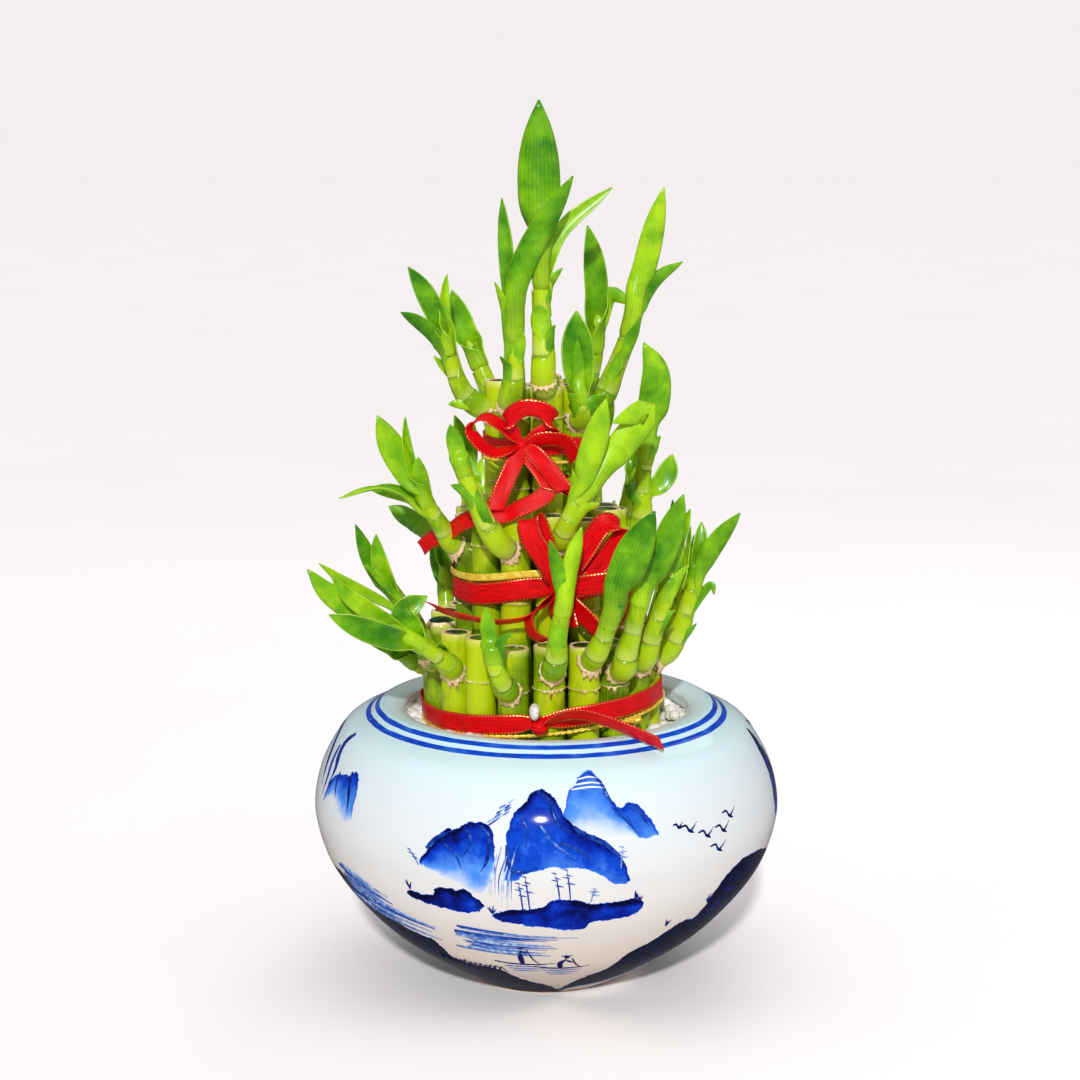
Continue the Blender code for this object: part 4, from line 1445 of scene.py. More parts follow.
@dataclass
class RoundCanes:
    """What goes round one tier's ring of canes: the ribbon, or the gold tie beside it."""

    tier_name: str
    tier: Tier
    tie: Tie

    @property
    def ring(self) -> float:
        """The radius of the circle that touches the canes from outside."""
        return self.tier.ring_radius + self.tier.cane_radius

    @property
    def centre(self) -> Vector:
        """The centre of the band."""
        return Vector((self.tier.shift, 0, self.tie.height))

    def placed(self, heading: float, offset: Vector) -> Vector:
        """Where a place counted from the centre of a level band comes to, at a heading of the real one."""
        slip = -UP * BAND_SLIP.get(self.tier_name, 0.0) * ease(0.0, 0.95, -math.sin(math.radians(heading)))
        return self.centre + slip + Matrix.Rotation(math.radians(-self.tie.tilt), 4, "Y") @ offset


@dataclass
class RibbonTie(RoundCanes):
    """One tier's satin ribbon: its band round the canes, its knot, and the loops and tails of its bow."""

    thickness: float = 0.4 * MM
    gap: float = 0.7 * MM
    columns: int = 6
    gathered_mm: float = 7.0

    def band(self, clay: Clay) -> float:
        """Adds the band, which starts and ends in the knot, and returns its length.

        Args:
            clay: The mesh to add to.

        Returns:
            The band's length.
        """
        radius = self.ring + self.gap
        knot = mm(self.tie.knot) - self.centre
        start = math.degrees(math.atan2(knot.x, -knot.y))
        length = math.tau * radius
        half = self.tie.width / 2

        def place(u: float, v: float) -> Spot:
            """A point of the band, which dips a little between the canes.

            Args:
                u: Across, from -1 to 1.
                v: Along, from 0 to 1.

            Returns:
                The point, along and across.
            """
            heading = start + v * 360
            dip = 0.25 * math.cos(math.radians((heading - self.tier.turn) * self.tier.count)) - 0.25
            lip = 0.12 * u * u
            slack = 0.6 * math.sin(math.radians(heading * 3 + 40)) * MM
            out = heading_vector(heading) * (radius + (dip + lip) * MM)
            pinch = 1 - 0.5 * math.exp(-(min(v, 1 - v) * 360 / 7) ** 2)
            return self.placed(heading, out + UP * (u * half * pinch + slack)), v * length / MM, u

        clay.sheet(self.columns, 180, place, 0, 0.5, self.thickness)
        return length

    def strip(self, clay: Clay, strip: Strip, number: int) -> float:
        """Adds one loop or tail, gathered where it leaves the knot, and returns its length.

        Args:
            clay: The mesh to add to.
            strip: The loop or tail.
            number: Its place in the bow, which sets how it curls.

        Returns:
            Its length.
        """
        knot = mm(self.tie.knot)
        points = [mm(point) for point in strip.points]
        ends = [points[0], points[-1]] if strip.loop else [points[0]]
        roots = [knot.lerp(end, KNOT_ROOT) for end in ends]
        path = smooth_path([roots[0], *points, *roots[1:]], 10)
        length = path_length(path)
        rows = max(int(length / (1.0 * MM)), 12)
        spots = [point_on(path, i / rows)[0] for i in range(rows + 1)]
        across = Vector(strip.across)

        def place(u: float, v: float) -> Spot:
            """A point of the strip.

            Args:
                u: Across, from -1 to 1.
                v: Along, from 0 to 1.

            Returns:
                The point, along and across.
            """
            i = min(int(round(v * rows)), rows)
            run = run_at(spots, i)
            side = (across - run * across.dot(run)).normalized()
            lift = run.cross(side)
            away = min(v * length, (1 - v) * length if strip.loop else length) / MM
            gather = ease(0.0, self.gathered_mm, away)
            half = self.tie.width / 2 * (0.42 + 0.58 * gather)
            pleat = (1 - gather) * 0.9 * math.cos(u * 2.5 * math.pi) * MM
            curl = 0.5 * (u * u - 0.4) * math.sin(v * 7 + number * 2.1) * gather * MM
            cut = 0 if strip.loop else u * 1.6 * ease(0.75, 1.0, v) * (1 if number % 2 else -1) * MM
            return spots[i] + side * (half * u) + lift * (pleat + curl) + run * cut, v * length / MM, u

        clay.sheet(self.columns, rows, place, 0, 0.5, self.thickness)
        return length

    def knot(self, clay: Clay) -> None:
        """Adds the knot: one pleated turn of ribbon pulled tight over the crossing.

        Args:
            clay: The mesh to add to.
        """
        centre = mm(self.tie.knot)
        size = self.tie.width / 2
        place = Matrix.Translation(centre) @ Matrix.Diagonal((size * 0.78, size * 0.66, size * 0.72, 1))
        for vert in clay.ball(place, 0, 0.5, fine=4):
            out = vert.co - centre
            turn = math.atan2(out.x, out.z)
            vert.co = centre + out * (1 + 0.07 * math.sin(out.z / size * 9 + turn * 1.5))
            vert[clay.along] = out.z / MM
            vert[clay.across] = 0.75 * math.sin(out.z / size * 4.5)

    def build(self, satin: Material) -> Object:
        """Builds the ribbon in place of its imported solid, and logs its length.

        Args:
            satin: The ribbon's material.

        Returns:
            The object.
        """
        clay = Clay()
        length = self.band(clay)
        loose = {number: strip for (name, number), strip in LOOSE_STRIPS.items() if name == self.tier_name}
        strips = {**dict(enumerate(self.tie.strips)), **loose}
        for number, strip in strips.items():
            length += self.strip(clay, strip, number)
        self.knot(clay)
        made = clay.piece(f"satin_{self.tier_name}", [satin])
        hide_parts(f"ribbon_{self.tier_name}")
        LOG.info("%s: %.0f mm of ribbon", made.name, length / MM)
        return made


@dataclass
class GoldTie(RoundCanes):
    """One tier's gold tie: wire, or foil on the middle tier, with its ends twisted together."""

    wire_radius: float = 0.45 * MM
    turns: int = 60
    end_turns: int = 5
    end_length: float = 7 * MM
    foil_height: float = 3.2 * MM

    @property
    def rise(self) -> Vector:
        """How far the tie runs above the ribbon's middle."""
        return UP * self.tie.wire_rise

    def foil(self, clay: Clay) -> None:
        """Adds the flat foil band round the canes.

        Args:
            clay: The mesh to add to.
        """
        radius = self.ring + 1.3 * MM

        def place(u: float, v: float) -> Spot:
            """A point of the creased foil.

            Args:
                u: Across, from -1 to 1.
                v: Along, from 0 to 1.

            Returns:
                The point, along and across.
            """
            crease = noise.noise(Vector((math.sin(v * math.tau) * 9, math.cos(v * math.tau) * 9, u))) * 0.35
            heading = v * 360 + self.tie.twist
            out = heading_vector(heading) * (radius + (crease - 0.3) * MM)
            return self.placed(heading, out + self.rise + UP * (u * self.foil_height / 2)), v, u

        clay.sheet(4, 200, place, 0, 0.5, 0.25 * MM)

    def wires(self, clay: Clay, steps: int = 400) -> None:
        """Adds one turn of two twisted wires round the canes.

        Args:
            clay: The mesh to add to.
            steps: Points of each wire.
        """
        radius = self.ring + 1.3 * MM
        for strand in (0, math.pi):
            path = []
            for i in range(steps + 1):
                heading = self.tie.twist + i * 360 / steps
                turn = i / steps * self.turns * math.tau + strand
                out = heading_vector(heading) * (radius - 0.5 * MM + math.cos(turn) * self.wire_radius)
                path.append(self.placed(heading, out + self.rise + UP * math.sin(turn) * self.wire_radius))
            tube(clay, path, self.wire_radius, 0, 0.5, sides=6)

    def ends(self, clay: Clay, steps: int = 60) -> None:
        """Adds the two ends, wound round each other and curled into a loose knot.

        Args:
            clay: The mesh to add to.
            steps: Points of each end.
        """
        out = heading_vector(self.tie.twist)
        root = self.placed(self.tie.twist, out * (self.ring + 1.4 * MM) + self.rise)
        along = heading_vector(self.tie.twist + 70)
        for strand in (0, math.pi):
            path = []
            for i in range(steps + 1):
                share = i / steps
                spot = root + along * self.end_length * share + out * 2.0 * MM * math.sin(share * math.pi)
                turn = share * self.end_turns * math.tau + strand
                path.append(spot + (UP * math.sin(turn) + out * math.cos(turn)) * (0.5 + 0.9 * share) * MM)
            tube(clay, path, self.wire_radius, 0, 0.5, sides=6)

    def build(self, gold: Material) -> Object:
        """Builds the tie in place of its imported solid.

        Args:
            gold: The tie's material.

        Returns:
            The object.
        """
        clay = Clay()
        if self.tier_name == FOIL_TIER:
            self.foil(clay)
        else:
            self.wires(clay)
        self.ends(clay)
        made = clay.piece(f"gold_{self.tier_name}", [gold])
        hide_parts(f"gold_tie_{self.tier_name}")
        return made


@dataclass
class PebbleBed:
    """The pebbles that fill the bowl round the canes, heaped a little towards them.

    Attributes:
        top: Mean height of the outer pebbles.
        rows_mm: Radius of each row of pebbles round the canes.
        spacing_mm: How far apart the pebbles of a row lie.
        heaped: How many lie against the canes.
        sunk: How many lie between the canes.
        core_mm: Outline of what fills the bowl under them, as (radius, height).
        leaning_mm: Middle of the one that leans on the canes at the front.
    """

    top: float = 118 * MM
    rows_mm: tuple = (56.6, 60.2, 63.6)
    spacing_mm: float = 7.4
    heaped: int = 40
    sunk: int = 150
    core_mm: tuple = ((0, 16), (48, 16), (99, 75), (99, 90), (78, 111.5), (66, 115), (0, 115))
    leaning_mm: tuple = (-5.3, -60.4, 137.5)

    def build(self, stone: Material) -> Object:
        """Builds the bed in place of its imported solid: a core, and the pebbles that show on it.

        Args:
            stone: The pebbles' material.

        Returns:
            The object.
        """
        clay = Clay()
        rng = random.Random(LOOK_SEED + 1)
        shift = Vector((TIERS["outer"].shift / 2, 0, 0))
        clay.turned([(radius * MM, height * MM) for radius, height in self.core_mm], Vector(), 48, 0, 0.2)
        for level, radius in enumerate(self.rows_mm):
            count = int(math.tau * radius / self.spacing_mm)
            for i in range(count):
                heading = (i + 0.5 * level + rng.uniform(-0.2, 0.2)) * 360 / count
                spot = shift + heading_vector(heading) * (radius + rng.uniform(-0.6, 0.6)) * MM
                spot.z = self.top + rng.uniform(-1.4, 1.2) * MM
                self.pebble(clay, spot, rng.uniform(3.8, 5.4) * MM, rng)
        for _ in range(self.heaped):
            spot = shift + heading_vector(rng.uniform(0, 360)) * rng.uniform(57.5, 61.5) * MM
            spot.z = self.top + rng.uniform(2.6, 4.4) * MM
            self.pebble(clay, spot, rng.uniform(3.3, 4.7) * MM, rng)
        for _ in range(self.sunk):
            spot = shift + heading_vector(rng.uniform(0, 360)) * math.sqrt(rng.random()) * 55 * MM
            spot.z = self.top - rng.uniform(1.0, 3.0) * MM
            self.pebble(clay, spot, rng.uniform(3.0, 4.2) * MM, rng)
        self.pebble(clay, mm(self.leaning_mm), 3.9 * MM, rng, upright=True)
        made = clay.piece("pebbles", [stone])
        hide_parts("pebble_bed")
        return made

    def pebble(self, clay: Clay, spot: Vector, size: float, rng: random.Random,
               upright: bool = False) -> None:
        """Adds one pebble: a flattened ball, turned at random, or standing against the canes.

        Args:
            clay: The mesh to add to.
            spot: Its middle.
            size: Half its length.
            rng: The random numbers to draw from.
            upright: Whether it stands on its edge.
        """
        squash = (size, size * rng.uniform(0.72, 0.95), size * rng.uniform(0.55, 0.75), 1)
        turn = Matrix.Rotation(rng.uniform(0, math.tau), 4, "Z")
        turn = turn @ Matrix.Rotation(rng.uniform(-0.5, 0.5), 4, "X")
        if upright:
            turn = Matrix.Rotation(math.pi / 2, 4, "Y")
        clay.ball(Matrix.Translation(spot) @ turn @ Matrix.Diagonal(squash), 0, rng.random())


@dataclass(frozen=True)
class Wash:
    """One brushed shape of the bowl's landscape, between an upper and a lower outline.

    Attributes:
        heading: Heading of its middle.
        span: How far round the bowl it reaches, in degrees.
        low: Height of outline value 0, in millimetres.
        high: Height of outline value 1, in millimetres.
        top: Points of the upper outline, each from 0 to 1 both ways.
        bottom: Points of the lower outline.
        depth: How much cobalt the brush held, where 1 is a full brush.
        fade: How far the colour thins towards the lower outline, from 0 to 1.
    """

    heading: float
    span: float
    low: float
    high: float
    top: tuple
    bottom: tuple = ((0, 0), (1, 0))
    depth: float = 1.0
    fade: float = 0.0


# The landscape on the front half; the back half carries it again. Heights are in millimetres.
WASHES = (
    Wash(11.5, 18, 93, 120, (
        (0, 0.1), (0.08, 0.4), (0.155, 0.71), (0.23, 0.81), (0.34, 0.93), (0.47, 0.99), (0.58, 0.93),
        (0.65, 0.79), (0.705, 0.63), (0.77, 0.52), (0.97, 0.26), (1, 0)), depth=0.5, fade=0.95),
    Wash(21, 12, 91, 109, (
        (0, 0.9), (0.05, 0.98), (0.27, 0.82), (0.44, 0.9), (0.62, 0.82), (0.76, 0.58), (0.89, 0.35), (1, 0)),
        ((0, 0.97), (0.3, 0.51), (0.54, 0.12), (0.93, 0.08), (1, 0.1)), depth=0.62, fade=0.3),
    Wash(-21, 20, 69, 101, (
        (0, 0.2), (0.05, 0.41), (0.19, 0.63), (0.25, 0.73), (0.355, 0.84), (0.5, 0.89), (0.675, 0.975),
        (0.77, 0.99), (0.865, 0.95), (0.935, 0.84), (0.965, 0.5), (1, 0.1)),
        ((0, 0.36), (0.28, 0.225), (0.515, 0.15), (0.755, 0.02), (0.95, 0.3), (1, 0.4)),
        depth=0.8, fade=0.72),
    Wash(5, 30, 72, 114, (
        (0, 0.05), (0.015, 0.25), (0.03, 0.55), (0.065, 0.77), (0.14, 0.86), (0.2, 0.945), (0.25, 0.985),
        (0.32, 0.985), (0.38, 0.93), (0.43, 0.84), (0.5, 0.72), (0.61, 0.61), (0.74, 0.53), (0.85, 0.43),
        (0.92, 0.29), (0.97, 0.1), (1, 0)),
        ((0, 0.12), (0.08, 0.1), (0.17, 0.18), (0.31, 0.24), (0.59, 0.23), (0.78, 0.12), (0.89, 0.03),
         (1, 0.1)),
        depth=0.8, fade=0.3),
    Wash(-25, 22, 58, 72, (
        (0, 0.4), (0.13, 0.59), (0.28, 0.54), (0.38, 0.63), (0.43, 0.85), (0.58, 0.92), (0.66, 0.86),
        (0.75, 0.93), (0.85, 0.73), (0.945, 0.53), (1, 0.2)),
        ((0, 0.5), (0.06, 0.34), (0.22, 0.2), (0.41, 0.14), (0.64, 0.06), (0.795, 0.09), (0.93, 0.31),
         (1, 0.4)),
        depth=0.9),
    Wash(5, 37, 51, 69, (
        (0, 0.4), (0.06, 0.57), (0.16, 0.65), (0.28, 0.72), (0.35, 0.8), (0.4, 0.93), (0.52, 0.94),
        (0.64, 0.84), (0.77, 0.8), (0.89, 0.85), (0.96, 0.82), (1, 0.6)),
        ((0, 0.45), (0.1, 0.24), (0.2, 0.2), (0.4, 0.09), (0.61, 0.06), (0.66, 0.26), (0.92, 0.32),
         (1, 0.75)),
        depth=0.88),
    Wash(-40, 100, 0, 62, (
        (0, 0.66), (0.1, 0.8), (0.23, 0.97), (0.38, 0.8), (0.47, 0.66), (0.55, 0.62), (0.58, 0.42),
        (0.64, 0.4), (0.73, 0.385), (0.79, 0.26), (0.9, 0.15), (1, 0.0)), depth=1.25),
    Wash(48, 84, 0, 50, (
        (0, 0), (0.075, 0.24), (0.14, 0.37), (0.2, 0.48), (0.23, 0.64), (0.3, 0.77), (0.35, 0.87),
        (0.4, 0.95), (0.47, 0.88), (0.6, 0.86), (0.8, 0.9), (1, 0.95)),
        ((0, 0), (0.15, 0.1), (0.45, 0.12), (0.7, 0.1), (1, 0.05)), depth=1.25),
    Wash(62, 44, 20, 73, (
        (0, 0.41), (0.1, 0.6), (0.13, 0.74), (0.21, 0.9), (0.35, 0.98), (0.56, 0.95), (0.75, 0.87),
        (1, 0.54)),
        ((0, 0.42), (0.1, 0.4), (0.2, 0.25), (0.4, 0.1), (1, 0.1)), depth=1.2),
    Wash(81.5, 13, 76, 119, (
        (0, 0.2), (0.15, 0.62), (0.3, 0.9), (0.42, 0.99), (0.55, 0.93), (0.75, 0.62), (1, 0.1)),
        ((0, 0.15), (0.4, 0.02), (1, 0.1)), depth=1.0, fade=0.45),
    Wash(-62, 17, 88, 109, (
        (0, 0.1), (0.1, 0.55), (0.3, 0.8), (0.6, 0.86), (0.8, 0.99), (0.9, 0.9), (1, 0.3)),
        ((0, 0.05), (0.35, 0.3), (0.6, 0.15), (0.8, 0.0), (1, 0.05)), depth=0.66, fade=0.75),
)


@dataclass(frozen=True)
class PaintedPorcelain:
    """Glazed porcelain, thrown and dipped, painted under the glaze with cobalt.

    The body is cool white above and warmer below, and its lower part is darker too: that is painted
    shade. It lies under a clear glaze that is smooth as glass. Each wash has a ragged edge and pools
    of darker colour, as a soft brush leaves them, and two lines run round the mouth.

    Attributes:
        lines_mm: Radius and half width of each line round the mouth.
        lines_above: Height that the lines lie above, so that none is painted under the shoulder.
        edge_mm: How soft a wash's edge is.
        rim_mm: How wide the darker rim along a wash's upper edge is.
        ragged_mm: How far a wash's edge wanders.
    """

    name: str = "cobalt_painted_porcelain"
    lines_mm: tuple = ((82.0, 1.1), (77.8, 0.95))
    lines_above: float = 118 * MM
    edge_mm: float = 0.5
    rim_mm: float = 4.0
    ragged_mm: float = 4.0

    def build(self) -> Material:
        """Makes the material.

        Returns:
            The material.
        """
        made, tree = new_finish(self.name, Roughness=0.09, IOR=1.5, Specular_IOR_Level=0.14)
        place = add(tree, PLACE, out="Object")
        ragged = add(tree, NOISE, {"Vector": place, "Scale": per_mm(5), "Detail": 5.0, "Roughness": 0.7},
                     out="Color")
        shift = add(tree, VECTOR, {0: ragged, 1: (0.5, 0.5, 0.5)}, operation="SUBTRACT")
        shift = add(tree, VECTOR, {0: shift, "Scale": self.ragged_mm * MM}, operation="SCALE")
        warped = add(tree, VECTOR, {0: place, 1: shift}, operation="ADD")
        x = add(tree, SPLIT, {0: warped}, out="X")
        y = add(tree, "MULTIPLY", (x.node.outputs["Y"], -1.0))
        turn = add(tree, "ARCTAN2", (x, y))
        turn = add(tree, "DEGREES", (turn,))
        turn = add(tree, "WRAP", (turn, 90.0, -90.0))
        height = add(tree, "MULTIPLY", (x.node.outputs["Z"], 1 / MM))
        pool = add(tree, NOISE, {"Vector": place, "Scale": per_mm(14), "Detail": 4.0, "Roughness": 0.65})
        stroke = add(tree, MAPPING, {"Vector": place, "Scale": (1, 1, 4)})
        stroke = add(tree, NOISE, {"Vector": stroke, "Scale": per_mm(9), "Detail": 3.0})
        layers = [self.wash(tree, wash, turn, height, pool) for wash in WASHES]
        ink = self.darkest(tree, [*layers, self.mouth_lines(tree, place, stroke)])
        # The body's colour by height: warm and darker at the bottom, where the darkness is painted shade, and
        # cooler and bluer up to the mouth.
        body = add(tree, RANGE, (height, 30.0, 126.0))
        body = add(tree, RAMP, (body,), stops=((0.0, "#DCD0C4"), (0.8, "#D2DCE2"), (1.0, "#C6E3EA")))
        paint = add(tree, RAMP, (ink,), stops=(
            (0.0, "#E9EFF6"), (0.15, "#B4CBEF"), (0.35, "#4C8AE2"), (0.58, "#0F46C0"), (0.75, "#08239A"),
            (0.9, "#060F4E"), (1.0, "#050930")))
        foot = add(tree, RANGE, (height, 1.0, 2.6, 1.0, 0.0))
        cover = add(tree, RANGE, (ink, 0.02, 0.3))
        colour = add(tree, MIX, {0: cover, 6: body, 7: paint}, out=2, data_type="RGBA")
        colour = add(tree, MIX, {0: foot, 6: colour, 7: "#6E452B"}, out=2, data_type="RGBA")
        return wire(made, Base_Color=colour)

    def darkest(self, tree: NodeTree, layers: Sequence) -> NodeSocket:
        """The most cobalt that any of some layers has at each place.

        Args:
            tree: The material's node tree.
            layers: The cobalt of each layer.

        Returns:
            The cobalt of all.
        """
        ink = layers[0]
        for layer in layers[1:]:
            ink = add(tree, "MAXIMUM", (ink, layer))
        return ink

    def wash(self, tree: NodeTree, wash: Wash, turn: NodeSocket,
             height: NodeSocket, pool: NodeSocket) -> NodeSocket:
        """One wash's cobalt, from 0 to 1, at each place of the bowl.

        Args:
            tree: The material's node tree.
            wash: The shape.
            turn: The heading at each place, in degrees.
            height: The height there, in millimetres.
            pool: How the colour pools there.

        Returns:
            The cobalt.
        """
        off = add(tree, "SUBTRACT", (turn, wash.heading))
        share = add(tree, "MULTIPLY_ADD", (off, 1 / wash.span, 0.5))
        level = add(tree, RANGE, (height, wash.low, wash.high), clamp=False)
        top = add(tree, CURVE, {"Value": share}, stops=wash.top)
        bottom = add(tree, CURVE, {"Value": share}, stops=wash.bottom)
        above = add(tree, "SUBTRACT", (top, level))
        below = add(tree, "SUBTRACT", (level, bottom))
        tall_mm = wash.high - wash.low
        inside = add(tree, "MINIMUM", (above, below))
        inside = add(tree, RANGE, (inside, 0.0, self.edge_mm / tall_mm))
        tall = add(tree, "ADD", (above, below))
        deep = add(tree, "DIVIDE", (above, tall))
        deep = add(tree, RANGE, (deep, 0.25, 1.0, wash.depth, wash.depth * (1 - wash.fade)))
        varied = add(tree, RANGE, (pool, 0.3, 0.7, 0.66, 1.14), clamp=False)
        deep = add(tree, "MULTIPLY", (deep, varied))
        rim = add(tree, RANGE, (above, 0.0, self.rim_mm / tall_mm, 0.3 * wash.depth, 0.0))
        deep = add(tree, "ADD", (deep, rim))
        return add(tree, "MULTIPLY", (inside, deep))

    def mouth_lines(self, tree: NodeTree, place: NodeSocket,
                    stroke: NodeSocket) -> NodeSocket:
        """The cobalt of the two brushed lines round the mouth.

        Args:
            tree: The material's node tree.
            place: The place itself.
            stroke: How the brush wavers there.

        Returns:
            The cobalt.
        """
        flat = add(tree, VECTOR, {0: place, 1: (1, 1, 0)}, operation="MULTIPLY")
        radius = add(tree, VECTOR, {0: flat}, out="Value", operation="LENGTH")
        radius = add(tree, "MULTIPLY", (radius, 1 / MM))
        radius = add(tree, "MULTIPLY_ADD", (stroke, 0.7, radius))
        z = add(tree, SPLIT, {0: place}, out="Z")
        up = add(tree, "GREATER_THAN", (z, self.lines_above))
        lines = []
        for middle, half in self.lines_mm:
            off = add(tree, "SUBTRACT", (radius, middle + 0.35))
            off = add(tree, "ABSOLUTE", (off,))
            lines.append(add(tree, RANGE, (off, half, half + 0.25, 1.0, 0.0)))
        thick = add(tree, RANGE, (stroke, 0.3, 0.7, 0.5, 0.68))
        ink = add(tree, "MULTIPLY", (self.darkest(tree, lines), thick))
        return add(tree, "MULTIPLY", (ink, up))


@dataclass(frozen=True)
class PlainGlaze:
    """Unpainted glazed porcelain inside the bowl, white and glossy."""

    name: str = "clear_glazed_porcelain"

    def build(self) -> Material:
        """Makes the material.

        Returns:
            The material.
        """
        made, tree = new_finish(self.name, Roughness=0.09, IOR=1.5, Specular_IOR_Level=0.2)
        place = add(tree, PLACE, out="Object")
        cloud = add(tree, NOISE, {"Vector": place, "Scale": per_mm(40), "Detail": 2.0})
        colour = add(tree, RAMP, (cloud,), stops=((0.3, "#D0E6EA"), (0.7, "#DDECEE")))
        return wire(made, Base_Color=colour)


@dataclass(frozen=True)
class Biscuit:
    """Bare fired clay on the foot ring, where the glaze was wiped off: matt, sandy and warm grey."""

    name: str = "bare_fired_clay"

    def build(self) -> Material:
        """Makes the material.

        Returns:
            The material.
        """
        made, tree = new_finish(self.name, Roughness=0.8, IOR=1.45)
        place = add(tree, PLACE, out="Object")
        grit = add(tree, NOISE, {"Vector": place, "Scale": per_mm(0.8), "Detail": 4.0})
        colour = add(tree, RAMP, (grit,), stops=((0.35, "#B9A58F"), (0.65, "#D8C9B4")))
        return wire(made, (grit, 0.4, 0.2), Base_Color=colour)


class Glaze(Enum):
    """The finishes of the bowl's mesh, in the order of its material slots."""

    PAINTED = 0
    PLAIN = 1
    BARE = 2


@dataclass
class Bowl:
    """The round porcelain bowl: a turned wall, a rolled lip and a bare foot ring.

    Attributes:
        steps: Faces round it.
        floor: Height of its floor inside.
        belly_inside: Greatest radius of its inside.
        foot_inner: Inner radius of the foot ring.
        foot_outer: Outer radius of the foot ring.
        foot_recess: How far the base is raised inside the foot ring.
    """

    steps: int = 192
    floor: float = 7 * MM
    belly_inside: float = 104 * MM
    foot_inner: float = 33 * MM
    foot_outer: float = 39 * MM
    foot_recess: float = 2.0 * MM

    def build(self) -> Object:
        """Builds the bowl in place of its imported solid.

        Returns:
            The object.
        """
        clay = Clay()
        points = [mm((radius, 0, height)) for radius, height in (*OUTER_WALL_MM, *LIP_MM, *INNER_WALL_MM)]
        wall = [(max(spot.x, 0.0), max(spot.z, 0.0)) for spot in smooth_path(points, 7)]
        foot = [(0, self.foot_recess), (self.foot_inner - 2 * MM, self.foot_recess),
                (self.foot_inner, self.foot_recess * 0.4), (self.foot_inner + 1 * MM, 0)]
        outline = [*foot, *wall, (0, self.floor)]
        verts = clay.turned(outline, Vector(), self.steps, Glaze.PAINTED.value, 0.5)
        bmesh.ops.recalc_face_normals(clay.bm, faces=clay.bm.faces)
        for face in {face for vert in verts for face in vert.link_faces}:
            middle = face.calc_center_median()
            radius = middle.to_2d().length
            inwards = face.normal.to_2d().dot(middle.to_2d()) < 0
            if inwards and middle.z > 5 * MM and radius < self.belly_inside:
                face.material_index = Glaze.PLAIN.value
            if middle.z < 0.3 * MM and radius < self.foot_outer:
                face.material_index = Glaze.BARE.value
        finishes = [PaintedPorcelain().build(), PlainGlaze().build(), Biscuit().build()]
        made = clay.piece("painted_bowl", finishes)
        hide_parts("bowl")
        return made


@dataclass(frozen=True)
class Stroke:
    """One thin brush line on the bowl: (heading, height in millimetres) points, its width and its cobalt."""

    points: tuple
    width_mm: float
    ink: float = 0.9


def dab(heading: float, height: float, points: Sequence, width_mm: float, ink: float = 0.9) -> Stroke:
    """A stroke whose points are counted from a place on the wall."""
    return Stroke(tuple((heading + x, height + y) for x, y in points), width_mm, ink)


def bird(heading: float, height: float, size: float) -> list[Stroke]:
    """A flying bird: two bent wings and a short body.

    Args:
        heading: Heading of its middle.
        height: Height of its middle in millimetres.
        size: Half its span, in degrees.

    Returns:
        Its strokes.
    """
    wings = ((-1, 0.9), (-0.35, 1.0), (0, 0), (0.5, 0.5), (1, 1.3))
    body = ((-0.2, 0.3), (0.5, -0.4))
    return [dab(heading, height, [(x * size, y * size) for x, y in points], width_mm)
            for points, width_mm in ((wings, 1.05), (body, 1.5))]


def bare_tree(heading: float, foot: float, tall: float, lean: float, ink: float = 0.62) -> list[Stroke]:
    """A bare, leaning tree: a trunk and short level twigs on both sides.

    Args:
        heading: Heading of its foot.
        foot: Height of its foot in millimetres.
        tall: Its height in millimetres.
        lean: How far its top leans over, in degrees.
        ink: Its cobalt.

    Returns:
        Its strokes.
    """
    made = [dab(heading, foot, ((0, 0), (lean * 0.4, tall * 0.5), (lean, tall)), 0.7, ink)]
    for i, (share, side) in enumerate(((0.55, 1), (0.7, -1), (0.82, 1), (0.95, -1))):
        reach = (1.7 - share) * 1.3 * side
        twig = ((-reach * 0.3, 0.2), (reach, 0.9 if i % 2 else -0.5))
        made.append(dab(heading + lean * share, foot + tall * share, twig, 0.6, ink))
    return made


def boat(heading: float, height: float, long: float, standing: bool) -> list[Stroke]:
    """A low fishing boat with a figure in a wide hat who pushes with a pole, and the ripples round it.

    Args:
        heading: Heading of its middle.
        height: Height of its middle in millimetres.
        long: Half its length, in degrees.
        standing: Whether the figure stands or sits.

    Returns:
        Its strokes.
    """
    tall, bow = (9.8, 0.2) if standing else (6.4, 1.6)
    top = bow - 0.6
    hull = ((-long, 1.2), (-0.5 * long, 0), (0.4 * long, -0.2), (long, 0.9))
    robe = ((-0.5, 0), (-0.8, tall * 0.55), (top, tall))
    head = ((top - 0.7, tall + 1.1), (top + 0.9, tall + 1.3))
    hat = ((top - 1.5, tall + 2.2), (top + 1.7, tall + 2.3))
    arm = ((top, tall - 1), (top + 2.2, tall - 2.6))
    pole = ((top + 1.6, tall + 0.6), (top + 3.2, tall * 0.4), (top + 5.6, -0.4))
    lines = [(hull, 1.2, 0.85), (robe, 2.5), (head, 2.0), (hat, 0.9), (arm, 1.3, 0.85), (pole, 0.75)]
    for i in range(3):
        ripple = ((-0.7 * long + i, -2.0 - 1.7 * i), (0.75 * long - i, -1.8 - 1.7 * i))
        lines.append((ripple, 0.9, 0.5))
    return [dab(heading, height, *line) for line in lines]


# Where the birds fly, as (heading, height, size), and where the bare trees stand, as (heading,
# height, tall, lean, ink).
BIRDS = ((32, 94.6, 1.4), (35, 92.2, 2.5), (40, 88.4, 2.5), (45.5, 88.6, 2.6), (48.6, 93.6, 2.5),
         (43.6, 81, 2.7))
BARE_TREES = ((-5.6, 62.8, 13, -0.8), (-4.0, 63, 16, -0.9), (3.0, 67.5, 13, -1.2), (5.4, 68, 14, -1.0),
              (10.2, 66.5, 6, 0.8, 0.35), (16.8, 81, 9, 0.6, 0.4), (-30.5, 79, 6, -2.5, 0.5))

